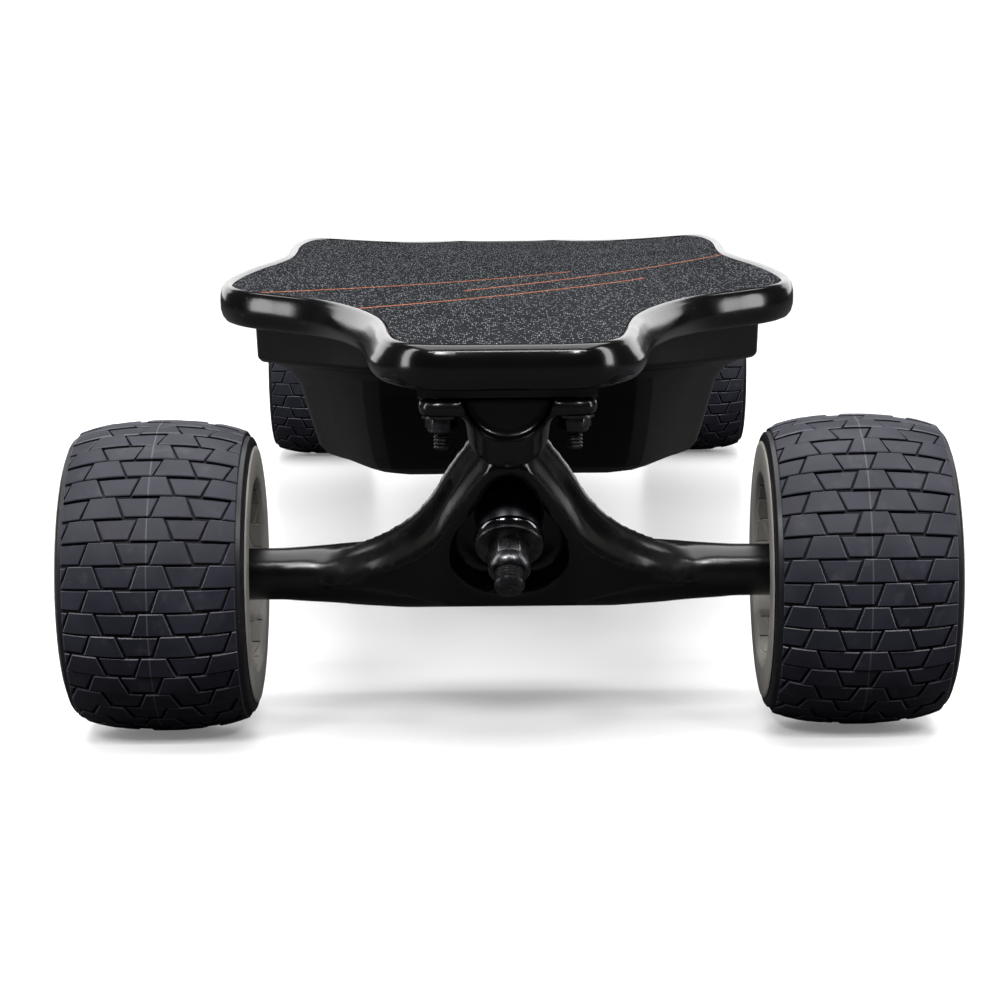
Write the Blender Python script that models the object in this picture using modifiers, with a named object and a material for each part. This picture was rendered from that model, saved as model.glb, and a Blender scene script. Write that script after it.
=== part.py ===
"""Electric skateboard: one object per physical piece, metres, +Z up, nose toward -Y."""

import math

import bmesh
import bpy
from mathutils import Vector

# ---------------------------------------------------------------- driving dimensions
WHEELBASE = 0.780
WHEEL_RADIUS = 0.0525
WHEEL_CENTRE_X = 0.1161

DECK_THICKNESS = 0.0110
DECK_HEIGHT = 0.1355
DECK_CAMBER = 0.018
DECK_PITCH = 0.006
DECK_CONCAVE = 0.0035
CONCAVE_HALF_WIDTH = 0.113
BUMPER_DEPTH = 0.0036
GRIP_MARGIN = 0.0058
GRIP_THICKNESS = 0.0009
GAP = 0.0003

STEER_TILT = math.radians(48.0)
RING_OUTBOARD = 0.0362
RING_HEIGHT = 0.0785
REAR_DROP = 0.0045
FLANGE_TOP = 0.1188
FLANGE_THICKNESS = 0.0053
FLANGE_HALF_WIDTH = 0.0278
FLANGE_OUTBOARD = 0.0785
FLANGE_INBOARD = 0.0125
BOLT_SPACING_X = 0.0413
BOLT_OUTBOARD = (0.0700, 0.0161)

TRAY_BOTTOM = 0.0625
TRAY_WALL = 0.0028

COLLECTION = "electric_skateboard"

# Deck edge, half width at each station of half the length.
DECK_HALF_OUTLINE = (
    (0.4750, 0.0150),
    (0.4735, 0.0235),
    (0.4690, 0.0310),
    (0.4610, 0.0365),
    (0.4480, 0.0402),
    (0.4220, 0.0432),
    (0.3920, 0.0456),
    (0.3650, 0.0490),
    (0.3350, 0.0555),
    (0.3080, 0.0642),
    (0.2890, 0.0740),
    (0.2755, 0.0880),
    (0.2640, 0.1010),
    (0.2510, 0.1085),
    (0.2330, 0.1125),
    (0.2050, 0.1143),
    (0.1600, 0.1143),
    (0.1100, 0.1125),
    (0.0550, 0.1095),
    (0.0000, 0.1080),
)


# ---------------------------------------------------------------- scene and object helpers
def clear_scene():
    """Remove whatever the start-up file holds."""
    for item in list(bpy.data.objects):
        bpy.data.objects.remove(item, do_unlink=True)


def make_collection(name):
    """Add a collection under the scene."""
    group = bpy.data.collections.new(name)
    bpy.context.scene.collection.children.link(group)
    return group


def make_material(name, colour, metallic, roughness):
    """A plain Principled material in the piece's own colour."""
    material = bpy.data.materials.new(name)
    material.use_nodes = True
    shader = material.node_tree.nodes["Principled BSDF"]
    shader.inputs["Base Color"].default_value = (*colour, 1.0)
    shader.inputs["Metallic"].default_value = metallic
    shader.inputs["Roughness"].default_value = roughness
    material.diffuse_color = (*colour, 1.0)
    return material


FINISHES = {
    "wood": ((0.42, 0.28, 0.15), 0.0, 0.55),
    "grip": ((0.03, 0.03, 0.03), 0.0, 0.95),
    "rubber_black": ((0.02, 0.02, 0.02), 0.0, 0.35),
    "tray_plastic": ((0.03, 0.03, 0.03), 0.0, 0.45),
    "pack_wrap": ((0.05, 0.12, 0.30), 0.0, 0.40),
    "controller_case": ((0.35, 0.36, 0.38), 0.9, 0.45),
    "cast_black": ((0.02, 0.02, 0.02), 0.4, 0.30),
    "zinc_steel": ((0.40, 0.40, 0.41), 1.0, 0.35),
    "bushing": ((0.04, 0.05, 0.08), 0.0, 0.40),
    "tyre": ((0.04, 0.04, 0.06), 0.0, 0.75),
    "core_plastic": ((0.25, 0.24, 0.22), 0.0, 0.50),
    "bearing_steel": ((0.55, 0.55, 0.56), 1.0, 0.25),
    "motor_shell": ((0.05, 0.05, 0.05), 0.8, 0.35),
}


def add_mesh(name, bm, group, finish, origin=(0.0, 0.0, 0.0), smooth=True):
    """Turn a bmesh in world metres into an object with its origin at the given point."""
    bmesh.ops.remove_doubles(bm, verts=bm.verts, dist=0.000001)
    bmesh.ops.recalc_face_normals(bm, faces=bm.faces)
    bmesh.ops.translate(bm, verts=bm.verts, vec=-Vector(origin))
    for face in bm.faces:
        face.smooth = smooth
    mesh = bpy.data.meshes.new(name)
    bm.to_mesh(mesh)
    bm.free()
    obj = bpy.data.objects.new(name, mesh)
    obj.location = origin
    group.objects.link(obj)
    if finish:
        colour, metallic, roughness = FINISHES[finish]
        obj.data.materials.append(make_material(name, colour, metallic, roughness))
    return obj


def loft(loops, cap_start=True, cap_end=True, ring=False):
    """Skin closed loops that hold the same number of points."""
    bm = bmesh.new()
    rows = [[bm.verts.new(point) for point in loop] for loop in loops]
    count = len(rows[0])
    pairs = list(zip(rows[:-1], rows[1:]))
    if ring:
        pairs.append((rows[-1], rows[0]))
    for first, second in pairs:
        for i in range(count):
            j = (i + 1) % count
            bm.faces.new((first[i], first[j], second[j], second[i]))
    if cap_start and not ring:
        bm.faces.new(list(reversed(rows[0])))
    if cap_end and not ring:
        bm.faces.new(rows[-1])
    return bm


def lathe(profile, segments, place, ring=False):
    """Spin (axial, radius) points; place maps (axial, across, up) to world metres."""
    loops = []
    for axial, radius in profile:
        loop = []
        for i in range(segments):
            angle = 2.0 * math.pi * i / segments
            loop.append(place(axial, radius * math.cos(angle), radius * math.sin(angle)))
        loops.append(loop)
    return loft(loops, ring=ring)


def hex_nut(profile, place):
    """A nut with a round bore: (axial, radius, is_hex) points, radius across corners."""
    loops = []
    for axial, radius, is_hex in profile:
        loop = []
        for i in range(12):
            reach = radius * math.cos(math.pi / 6.0) if is_hex and i % 2 else radius
            angle = 2.0 * math.pi * i / 12
            loop.append(place(axial, reach * math.cos(angle), reach * math.sin(angle)))
        loops.append(loop)
    return loft(loops, ring=True)


def block(low, high):
    """A box between two corners."""
    loops = []
    for z in (low[2], high[2]):
        loops.append([
            (low[0], low[1], z),
            (high[0], low[1], z),
            (high[0], high[1], z),
            (low[0], high[1], z),
        ])
    return loft(loops)


def cut(obj, cutter, operation="DIFFERENCE"):
    """Add an exact Boolean."""
    modifier = obj.modifiers.new(cutter.name, "BOOLEAN")
    modifier.operation = operation
    modifier.solver = "EXACT"
    modifier.object = cutter


def add_cutter(name, bm, group):
    """A hidden tool for a Boolean."""
    obj = add_mesh(name, bm, group, None, smooth=False)
    obj.hide_render = True
    obj.display_type = "WIRE"
    return obj


def bevel(obj, width, segments=2, angle=35.0):
    """Round the sharp edges."""
    modifier = obj.modifiers.new("edges", "BEVEL")
    modifier.width = width
    modifier.segments = segments
    modifier.limit_method = "ANGLE"
    modifier.angle_limit = math.radians(angle)
    modifier.use_clamp_overlap = True


# ---------------------------------------------------------------- deck surface
def deck_top(x, y):
    """Height of the deck's top face."""
    spine = DECK_HEIGHT - DECK_CAMBER * y * y - DECK_PITCH * y
    return spine + DECK_CONCAVE * (x / CONCAVE_HALF_WIDTH) ** 2


def half_outline(steps=1):
    """Right-hand edge from nose to tail, with points added between the stations."""
    front = [Vector((width, -length)) for length, width in DECK_HALF_OUTLINE]
    back = [Vector((width, length)) for length, width in reversed(DECK_HALF_OUTLINE[:-1])]
    points = front + back
    fine = []
    for i in range(len(points) - 1):
        before = points[max(i - 1, 0)]
        after = points[min(i + 2, len(points) - 1)]
        for k in range(steps):
            t = k / steps
            a = 2.0 * points[i]
            b = points[i + 1] - before
            c = 2.0 * before - 5.0 * points[i] + 4.0 * points[i + 1] - after
            d = -before + 3.0 * points[i] - 3.0 * points[i + 1] + after
            fine.append(0.5 * (a + b * t + c * t * t + d * t ** 3))
    fine.append(points[-1])
    return fine


def inset_outline(points, distance):
    """Move the right-hand edge inward along its normals."""
    moved = []
    for i, point in enumerate(points):
        before = points[i - 1] if i > 0 else Vector((-points[0].x, points[0].y))
        after = points[i + 1] if i + 1 < len(points) else Vector((-points[-1].x, points[-1].y))
        first = (point - before).normalized()
        second = (after - point).normalized()
        along = (first + second).normalized()
        normal = Vector((-along.y, along.x))
        scale = 1.0 / max(normal.dot(Vector((-first.y, first.x))), 0.6)
        moved.append(point + normal * distance * scale)
    return moved


def sheet_body(points, columns, bottom, top):
    """A plate that follows the deck between two offsets from its top face."""
    bm = bmesh.new()
    layers = []
    for offset in (bottom, top):
        rows = []
        for point in points:
            row = []
            for k in range(columns + 1):
                x = point.x * (2.0 * k / columns - 1.0)
                row.append(bm.verts.new((x, point.y, deck_top(x, point.y) + offset)))
            rows.append(row)
        layers.append(rows)
    low, high = layers
    last = len(points) - 1
    for i in range(last):
        for k in range(columns):
            bm.faces.new((low[i][k], low[i + 1][k], low[i + 1][k + 1], low[i][k + 1]))
            bm.faces.new((high[i][k], high[i][k + 1], high[i + 1][k + 1], high[i + 1][k]))
        for k in (0, columns):
            bm.faces.new((low[i][k], low[i + 1][k], high[i + 1][k], high[i][k]))
    for i in (0, last):
        for k in range(columns):
            bm.faces.new((low[i][k], low[i][k + 1], high[i][k + 1], high[i][k]))
    return bm


def bolt_positions():
    """Centres of the eight truck bolts: (truck tag, number, x, y)."""
    spots = []
    for tag, sign in (("front", -1.0), ("rear", 1.0)):
        number = 1
        for outboard in BOLT_OUTBOARD:
            for side in (-1.0, 1.0):
                y = sign * (WHEELBASE / 2.0 + outboard)
                spots.append((tag, number, side * BOLT_SPACING_X / 2.0, y))
                number += 1
    return spots


def hole_set(radius, low, high, tag=None):
    """Round rods through every bolt position, as one tool."""
    bm = bmesh.new()
    for owner, number, x, y in bolt_positions():
        if tag and owner != tag:
            continue
        loops = []
        for z in (low, high):
            loop = []
            for i in range(12):
                angle = 2.0 * math.pi * (i + 0.5) / 12
                loop.append((x + radius * math.cos(angle), y + radius * math.sin(angle), z))
            loops.append(loop)
        rod = loft(loops)
        bmesh.ops.recalc_face_normals(rod, faces=rod.faces)
        mesh = bpy.data.meshes.new("rod")
        rod.to_mesh(mesh)
        rod.free()
        bm.from_mesh(mesh)
        bpy.data.meshes.remove(mesh)
    return bm


def build_deck(parts, tools):
    """Deck core, grip tape and the bumper that runs round the edge."""
    edge = half_outline()
    core = sheet_body(inset_outline(edge, BUMPER_DEPTH + GAP), 4, -DECK_THICKNESS, 0.0)
    deck = add_mesh("deck", core, parts, "wood", smooth=False)
    shank_holes = add_cutter("cut_shanks", hole_set(0.0030, 0.100, 0.150), tools)
    cut(deck, shank_holes)

    sheet = sheet_body(
        inset_outline(edge, GRIP_MARGIN), 4, 0.0002, 0.0002 + GRIP_THICKNESS
    )
    grip = add_mesh("grip_tape", sheet, parts, "grip", smooth=False)
    head_holes = add_cutter("cut_heads", hole_set(0.0053, 0.100, 0.150), tools)
    cut(grip, head_holes)

    section = (
        (BUMPER_DEPTH, 0.0008),
        (0.0013, 0.0004),
        (0.0000, -0.0030),
        (0.0000, -0.0082),
        (0.0013, -0.0114),
        (BUMPER_DEPTH, -0.0120),
    )
    loops = []
    rails = [inset_outline(edge, depth) for depth, height in section]
    order = [(i, 1.0) for i in range(len(edge))]
    order += [(i, -1.0) for i in reversed(range(len(edge)))]
    for i, side in order:
        loop = []
        for rail, (depth, height) in zip(rails, section):
            x = side * rail[i].x
            y = rail[i].y
            loop.append((x, y, deck_top(rail[i].x, y) + height))
        loops.append(loop)
    add_mesh("edge_bumper", loft(loops, ring=True), parts, "rubber_black")


# ---------------------------------------------------------------- enclosure
def tray_loop(half_width, half_length, height):
    """One level of the tray: a long box with cut corners. height is a z or None for the deck."""
    face = min(0.047, half_width * 0.55)
    quarter = [
        (half_width, 0.0),
        (half_width, half_length - 0.066),
        (half_width - 0.0012, half_length - 0.056),
        (half_width - 0.0060, half_length - 0.046),
        (face + 0.0100, half_length - 0.0042),
        (face - 0.0060, half_length),
        (0.0, half_length),
    ]
    loop = [(x, y) for x, y in quarter]
    loop += [(-x, y) for x, y in reversed(quarter[:-1])]
    loop += [(-x, -y) for x, y in quarter[1:]]
    loop += [(x, -y) for x, y in reversed(quarter[1:-1])]
    out = []
    for x, y in loop:
        if height <= 0.0:
            out.append((x, y, deck_top(x, y) - DECK_THICKNESS - GAP + height))
        else:
            out.append((x, y, height))
    return out


def build_enclosure(parts, tools):
    """Tray, what it holds, and the controls in its side."""
    outer = (
        (0.1040, 0.2565, 0.0),
        (0.1040, 0.2565, -0.0032),
        (0.0998, 0.2520, -0.0038),
        (0.0990, 0.2510, 0.1112),
        (0.0975, 0.2490, 0.1088),
        (0.0890, 0.2400, 0.1056),
        (0.0820, 0.2315, 0.0900),
        (0.0750, 0.2225, 0.0705),
        (0.0680, 0.2150, 0.0650),
        (0.0580, 0.2050, 0.0628),
        (0.0520, 0.1990, TRAY_BOTTOM),
    )
    inner = (
        (0.0500, 0.1970, TRAY_BOTTOM + TRAY_WALL),
        (0.0640, 0.2110, TRAY_BOTTOM + 0.0048),
        (0.0715, 0.2190, 0.0725),
        (0.0790, 0.2285, 0.0915),
        (0.0860, 0.2370, 0.1080),
        (0.0945, 0.2460, 0.1115),
        (0.0960, 0.2480, 0.0),
    )
    bm = loft([tray_loop(*level) for level in outer + inner], ring=False,
              cap_start=False, cap_end=False)
    bm.verts.ensure_lookup_table()
    count = len(tray_loop(*outer[0]))
    levels = len(outer) + len(inner)
    first = [bm.verts[i] for i in range(count)]
    last = [bm.verts[(levels - 1) * count + i] for i in range(count)]
    for i in range(count):
        j = (i + 1) % count
        bm.faces.new((last[i], last[j], first[j], first[i]))
    bridge_out = (len(outer) - 1) * count
    bridge_in = len(outer) * count
    doomed = []
    out_set = set(bm.verts[bridge_out + i] for i in range(count))
    in_set = set(bm.verts[bridge_in + i] for i in range(count))
    for face in bm.faces:
        corners = set(face.verts)
        if corners & out_set and corners & in_set:
            doomed.append(face)
    bmesh.ops.delete(bm, geom=doomed, context="FACES")
    bm.verts.ensure_lookup_table()
    bm.faces.new([bm.verts[bridge_out + i] for i in range(count)])
    bm.faces.new([bm.verts[bridge_in + i] for i in range(count)])
    tray = add_mesh("enclosure_tray", bm, parts, "tray_plastic", smooth=False)

    port_y = 0.120
    button_y = 0.165
    control_z = 0.0875

    def side(y):
        return lambda axial, across, up: (-axial, y + across, control_z + up)

    holes = bmesh.new()
    for y, radius in ((port_y, 0.0093), (button_y, 0.0078)):
        rod = lathe(((0.060, radius), (0.100, radius)), 24, side(y))
        bmesh.ops.recalc_face_normals(rod, faces=rod.faces)
        mesh = bpy.data.meshes.new("rod")
        rod.to_mesh(mesh)
        rod.free()
        holes.from_mesh(mesh)
        bpy.data.meshes.remove(mesh)
    cut(tray, add_cutter("cut_controls", holes, tools))

    port = port_body(side(port_y))
    add_mesh("charge_port", port, parts, "tray_plastic")

    cap_hinge = (-0.0889, port_y, control_z + 0.0098)
    cap = cap_body(side(port_y))
    add_mesh("charge_port_cap", cap, parts, "rubber_black", origin=cap_hinge)

    button = lathe((
        (0.0760, 0.0068),
        (0.0768, 0.0075),
        (0.0866, 0.0075),
        (0.0876, 0.0068),
    ), 20, side(button_y))
    add_mesh("power_button", button, parts, "zinc_steel", origin=(-0.0820, button_y, control_z))

    pack = add_mesh("battery_pack", block((-0.056, -0.158, 0.0678), (0.056, 0.046, 0.1120)),
                    parts, "pack_wrap", smooth=False)
    bevel(pack, 0.004, 3)

    fins = [(-0.045, 0.0672), (0.045, 0.0672), (0.045, 0.0980)]
    count = 12
    pitch = 0.090 / (2 * count - 1)
    x = 0.045
    for i in range(2 * count - 2):
        x -= pitch
        top = 0.0980 if i % 2 else 0.0900
        base = 0.0980 if i % 2 == 0 else 0.0900
        fins.append((x, base))
        fins.append((x, top))
    fins.append((-0.045, 0.0980))
    loops = [[(px, y, pz) for px, pz in fins] for y in (0.066, 0.158)]
    add_mesh("motor_controller", loft(loops), parts, "controller_case", smooth=False)


def port_body(place):
    """Round socket body with a blind hole facing outward."""
    return lathe((
        (0.0700, 0.0078),
        (0.0712, 0.0090),
        (0.0866, 0.0090),
        (0.0874, 0.0083),
        (0.0874, 0.0050),
        (0.0790, 0.0050),
    ), 20, place)


def cap_body(place):
    """Disc with a plug and a hinge lug along its upper edge."""
    loops = []
    outline = []
    for i in range(20):
        angle = 2.0 * math.pi * i / 20
        outline.append((0.0086 * math.cos(angle), 0.0086 * math.sin(angle)))
    lugged = []
    for across, up in outline:
        if up > 0.0070:
            lugged.append((max(-0.0035, min(0.0035, across)), 0.0108))
        else:
            lugged.append((across, up))
    for axial, factor in ((0.0878, 1.0), (0.0896, 1.0), (0.0902, 0.93)):
        loops.append([place(axial, a * factor, u * factor) for a, u in lugged])
    bm = loft(loops)
    return bm


# ---------------------------------------------------------------- trucks
class Truck:
    """Axes of one truck: x across, s along the steering axis (up, outboard), k along the kingpin."""

    def __init__(self, tag, sign, drop):
        self.tag = tag
        self.sign = sign
        self.drop = drop
        self.axle_y = sign * WHEELBASE / 2.0
        self.ring_height = RING_HEIGHT - drop
        cos_t = math.cos(STEER_TILT)
        sin_t = math.sin(STEER_TILT)
        self.along = (cos_t, sin_t)
        self.kingpin = (sin_t, -cos_t)
        rise = WHEEL_RADIUS - self.ring_height
        self.axle_s = -RING_OUTBOARD * cos_t + rise * sin_t
        self.axle_k = -RING_OUTBOARD * sin_t - rise * cos_t

    def flat(self, x, outboard, z):
        """World point from across, outboard of the axle, and height."""
        return (-self.sign * x, self.axle_y + self.sign * outboard, z)

    def tilted(self, x, s, k):
        """World point from the tilted truck axes."""
        outboard = RING_OUTBOARD + s * self.along[0] + k * self.kingpin[0]
        z = self.ring_height + s * self.along[1] + k * self.kingpin[1]
        return self.flat(x, outboard, z)

    def about_kingpin(self, axial, across, up):
        """Lathe placement along the kingpin."""
        return self.tilted(across, up, axial)

    def about_steer(self, axial, across, up):
        """Lathe placement along the steering axis."""
        return self.tilted(across, axial, up)

    def about_axle(self, axial, across, up):
        """Lathe placement along the axle."""
        return self.flat(axial, across, WHEEL_RADIUS + up)

    def ring(self):
        """World position of the hanger ring."""
        return self.tilted(0.0, 0.0, 0.0)


def prism(truck, outline, k_low, k_high):
    """Extrude an (x, s) outline along the kingpin."""
    return loft([
        [truck.tilted(x, s, k_low) for x, s in outline],
        [truck.tilted(x, s, k_high) for x, s in outline],
    ])


def mirrored(points):
    """Close a half outline, right side first, across x = 0."""
    left = [(-x, s) for x, s in reversed(points) if x > 0.0]
    return list(points) + left


HANGER_OUTLINE = (
    (0.0000, 0.0306),
    (0.0086, 0.0306),
    (0.0104, 0.0280),
    (0.0125, 0.0240),
    (0.0165, 0.0165),
    (0.0214, 0.0062),
    (0.0262, -0.0050),
    (0.0335, -0.0160),
    (0.0430, -0.0245),
    (0.0520, -0.0300),
    (0.0520, -0.0480),
    (0.0380, -0.0500),
    (0.0200, -0.0480),
    (0.0000, -0.0475),
)

POCKET_OUTLINE = (
    (0.0000, 0.0268),
    (0.0036, 0.0250),
    (0.0060, 0.0205),
    (0.0112, 0.0090),
    (0.0165, -0.0015),
    (0.0186, -0.0090),
    (0.0186, -0.0185),
    (0.0150, -0.0265),
    (0.0090, -0.0315),
    (0.0000, -0.0330),
)


def build_hanger(truck, parts, tools, hub_motor):
    """A-shaped casting with axle tubes, pivot nose and the kingpin pocket."""
    tag = truck.tag
    back = -0.0120
    front = 0.0089
    outline = mirrored(HANGER_OUTLINE)
    body = prism(truck, outline, back, front)
    hanger = add_mesh(tag + "_hanger", body, parts, "cast_black", origin=truck.ring(), smooth=False)

    reach = 0.0880 if hub_motor else 0.1022
    tubes = lathe((
        (-reach, 0.0080),
        (-reach + 0.0012, 0.0089),
        (-0.0760, 0.0089),
        (-0.0600, 0.0100),
        (-0.0480, 0.0115),
        (-0.0360, 0.0125),
        (0.0360, 0.0125),
        (0.0480, 0.0115),
        (0.0600, 0.0100),
        (0.0760, 0.0089),
        (reach - 0.0012, 0.0089),
        (reach, 0.0080),
    ), 20, truck.about_axle)
    cut(hanger, add_cutter("add_tubes_" + tag, tubes, tools), "UNION")

    nose = lathe((
        (0.0200, 0.0062),
        (0.0318, 0.0062),
        (0.0329, 0.0047),
        (0.0440, 0.0047),
        (0.0452, 0.0036),
    ), 16, truck.about_steer)
    cut(hanger, add_cutter("add_nose_" + tag, nose, tools), "UNION")

    pocket = prism(truck, mirrored(POCKET_OUTLINE), -0.0010, 0.0300)
    cut(hanger, add_cutter("cut_pocket_" + tag, pocket, tools))

    bore = lathe(((-0.0300, 0.0087), (0.0300, 0.0087)), 20, truck.about_kingpin)
    cut(hanger, add_cutter("cut_ring_" + tag, bore, tools))

    if hub_motor:
        for side, name in ((-1.0, "a"), (1.0, "b")):
            seat = lathe(((side * 0.0660, 0.0053), (side * 0.1200, 0.0053)), 16, truck.about_axle)
            cut(hanger, add_cutter("cut_shaft_" + name, seat, tools))
    else:
        rod_seat = lathe(((-0.1200, 0.0043), (0.1200, 0.0043)), 16, truck.about_axle)
        cut(hanger, add_cutter("cut_axle", rod_seat, tools))
    return hanger


def build_truck(truck, parts, tools):
    """Everything of one truck that stays with the deck."""
    tag = truck.tag
    top = FLANGE_TOP - truck.drop
    low = top - FLANGE_THICKNESS

    columns = 4
    loops = []
    for i in range(columns + 1):
        outboard = 0.0030 - FLANGE_INBOARD + (FLANGE_OUTBOARD + FLANGE_INBOARD - 0.0070) * i / columns
        near = truck.flat(-FLANGE_HALF_WIDTH, outboard, top + GAP)
        far = truck.flat(FLANGE_HALF_WIDTH, outboard, top + GAP)
        loop = [near, far]
        for x in (FLANGE_HALF_WIDTH, -FLANGE_HALF_WIDTH):
            wx, wy, wz = truck.flat(x, outboard, 0.0)
            loop.append((wx, wy, deck_top(0.0, wy) - DECK_THICKNESS - GAP))
        loops.append(loop)
    riser = add_mesh(tag + "_riser_pad", loft(loops), parts, "rubber_black", smooth=False)
    cut(riser, add_cutter("cut_riser_" + tag, hole_set(0.0030, 0.090, 0.150, tag), tools))

    corner = 0.006
    plate = [
        (FLANGE_HALF_WIDTH, FLANGE_OUTBOARD - corner),
        (FLANGE_HALF_WIDTH - corner * 0.3, FLANGE_OUTBOARD - corner * 0.3),
        (FLANGE_HALF_WIDTH - corner, FLANGE_OUTBOARD),
        (-FLANGE_HALF_WIDTH + corner, FLANGE_OUTBOARD),
        (-FLANGE_HALF_WIDTH + corner * 0.3, FLANGE_OUTBOARD - corner * 0.3),
        (-FLANGE_HALF_WIDTH, FLANGE_OUTBOARD - corner),
        (-FLANGE_HALF_WIDTH, corner - FLANGE_INBOARD),
        (-FLANGE_HALF_WIDTH + corner, -FLANGE_INBOARD),
        (FLANGE_HALF_WIDTH - corner, -FLANGE_INBOARD),
        (FLANGE_HALF_WIDTH, corner - FLANGE_INBOARD),
    ]
    flange = loft([[truck.flat(x, o, z) for x, o in plate] for z in (low, top)])
    base = add_mesh(tag + "_baseplate", flange, parts, "cast_black", smooth=False)

    wedge = (
        (0.0274, 0.1039),
        (0.0100, 0.0845),
        (-0.0035, 0.0965),
        (-0.0105, 0.1056),
        (-0.0105, 0.1160),
        (0.0340, 0.1160),
    )
    loops = []
    for x in (-0.0132, 0.0132):
        loops.append([truck.flat(x, o, z - truck.drop) for o, z in wedge])
    cut(base, add_cutter("add_wedge_" + tag, loft(loops), tools), "UNION")

    boss = lathe((
        (0.0328, 0.0098),
        (0.0350, 0.0108),
        (0.0460, 0.0128),
        (0.0640, 0.0138),
    ), 24, truck.about_steer)
    cut(base, add_cutter("add_boss_" + tag, boss, tools), "UNION")

    lid = block((-0.1, -0.2, top), (0.1, 0.2, top + 0.05))
    bmesh.ops.translate(lid, verts=lid.verts, vec=(0.0, truck.axle_y, 0.0))
    cut(base, add_cutter("cut_top_" + tag, lid, tools))

    def scoop(axial, across, up):
        return truck.flat(across, axial, top + 0.0008 + up)

    trough = lathe(((0.0690, 0.0138), (0.1200, 0.0138)), 24, scoop)
    cut(base, add_cutter("cut_scoop_" + tag, trough, tools))

    socket = lathe(((0.0200, 0.0072), (0.0478, 0.0072)), 20, truck.about_steer)
    cut(base, add_cutter("cut_socket_" + tag, socket, tools))

    head_room = lathe(((-0.0435, 0.0100), (-0.0900, 0.0100)), 20, truck.about_kingpin)
    cut(base, add_cutter("cut_head_" + tag, head_room, tools))
    pin_room = lathe(((-0.0600, 0.0051), (-0.0100, 0.0051)), 16, truck.about_kingpin)
    cut(base, add_cutter("cut_pin_" + tag, pin_room, tools))
    cut(base, add_cutter("cut_base_" + tag, hole_set(0.0028, 0.090, 0.150, tag), tools))

    cup = lathe((
        (0.0335, 0.0052),
        (0.0335, 0.0069),
        (0.0475, 0.0069),
        (0.0475, 0.0010),
        (0.0458, 0.0010),
        (0.0458, 0.0052),
    ), 16, truck.about_steer, ring=True)
    add_mesh(tag + "_pivot_cup", cup, parts, "bushing")

    pin = lathe((
        (-0.0490, 0.0074),
        (-0.0482, 0.0080),
        (-0.0438, 0.0080),
        (-0.0438, 0.0048),
        (0.0284, 0.0048),
        (0.0294, 0.0038),
    ), 16, truck.about_kingpin)
    add_mesh(tag + "_kingpin", pin, parts, "zinc_steel")

    def washer_ring(name, finish, profile, segments=20):
        add_mesh(tag + name, lathe(profile, segments, truck.about_kingpin, ring=True), parts, finish)

    washer_ring("_boardside_bushing", "bushing", (
        (-0.0234, 0.0051),
        (-0.0234, 0.0112),
        (-0.0220, 0.0122),
        (-0.0140, 0.0122),
        (-0.0123, 0.0112),
        (-0.0123, 0.0051),
    ))
    washer_ring("_roadside_bushing", "bushing", (
        (-0.0007, 0.0051),
        (-0.0007, 0.0112),
        (0.0008, 0.0122),
        (0.0100, 0.0112),
        (0.0118, 0.0102),
        (0.0118, 0.0051),
    ))
    washer_ring("_cup_washer", "zinc_steel", (
        (0.0121, 0.0051),
        (0.0121, 0.0106),
        (0.0108, 0.0119),
        (0.0142, 0.0110),
        (0.0142, 0.0051),
    ))
    nut = hex_nut((
        (0.0145, 0.0051, False),
        (0.0145, 0.0082, True),
        (0.0226, 0.0082, True),
        (0.0232, 0.0070, False),
        (0.0262, 0.0066, False),
        (0.0262, 0.0051, False),
    ), truck.about_kingpin)
    add_mesh(tag + "_kingpin_nut", nut, parts, "zinc_steel", smooth=False)

    for owner, number, x, y in bolt_positions():
        if owner != tag:
            continue
        seat = deck_top(x, y) + 0.0002

        def upright(axial, across, up, x=x, y=y):
            return (x + across, y + up, axial)

        shank = lathe((
            (low - 0.0100, 0.0017),
            (low - 0.0092, 0.0024),
            (seat, 0.0024),
            (seat, 0.0046),
            (seat + 0.0022, 0.0036),
        ), 10, upright)
        add_mesh("{}_truck_bolt_{}".format(tag, number), shank, parts, "zinc_steel")
        nut = hex_nut((
            (low - 0.0060, 0.0027, False),
            (low - 0.0060, 0.0040, False),
            (low - 0.0044, 0.0045, False),
            (low - 0.0042, 0.0055, True),
            (low - 0.0002, 0.0055, True),
            (low - 0.0002, 0.0027, False),
        ), upright)
        add_mesh("{}_truck_nut_{}".format(tag, number), nut, parts, "zinc_steel", smooth=False)


# ---------------------------------------------------------------- wheels
TYRE_SECTION = (
    (-0.0303, 0.0386),
    (-0.0303, 0.0440),
    (-0.0293, 0.0466),
    (-0.0262, 0.0490),
    (-0.0150, 0.0517),
    (0.0000, WHEEL_RADIUS),
    (0.0150, 0.0517),
    (0.0262, 0.0490),
    (0.0293, 0.0466),
    (0.0303, 0.0440),
    (0.0303, 0.0386),
)


def wheel_place(side, y):
    """Lathe placement for a wheel: axial grows outward from its own centre plane."""
    def place(axial, across, up):
        return (side * (WHEEL_CENTRE_X + axial), y + across, WHEEL_RADIUS + up)
    return place


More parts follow.
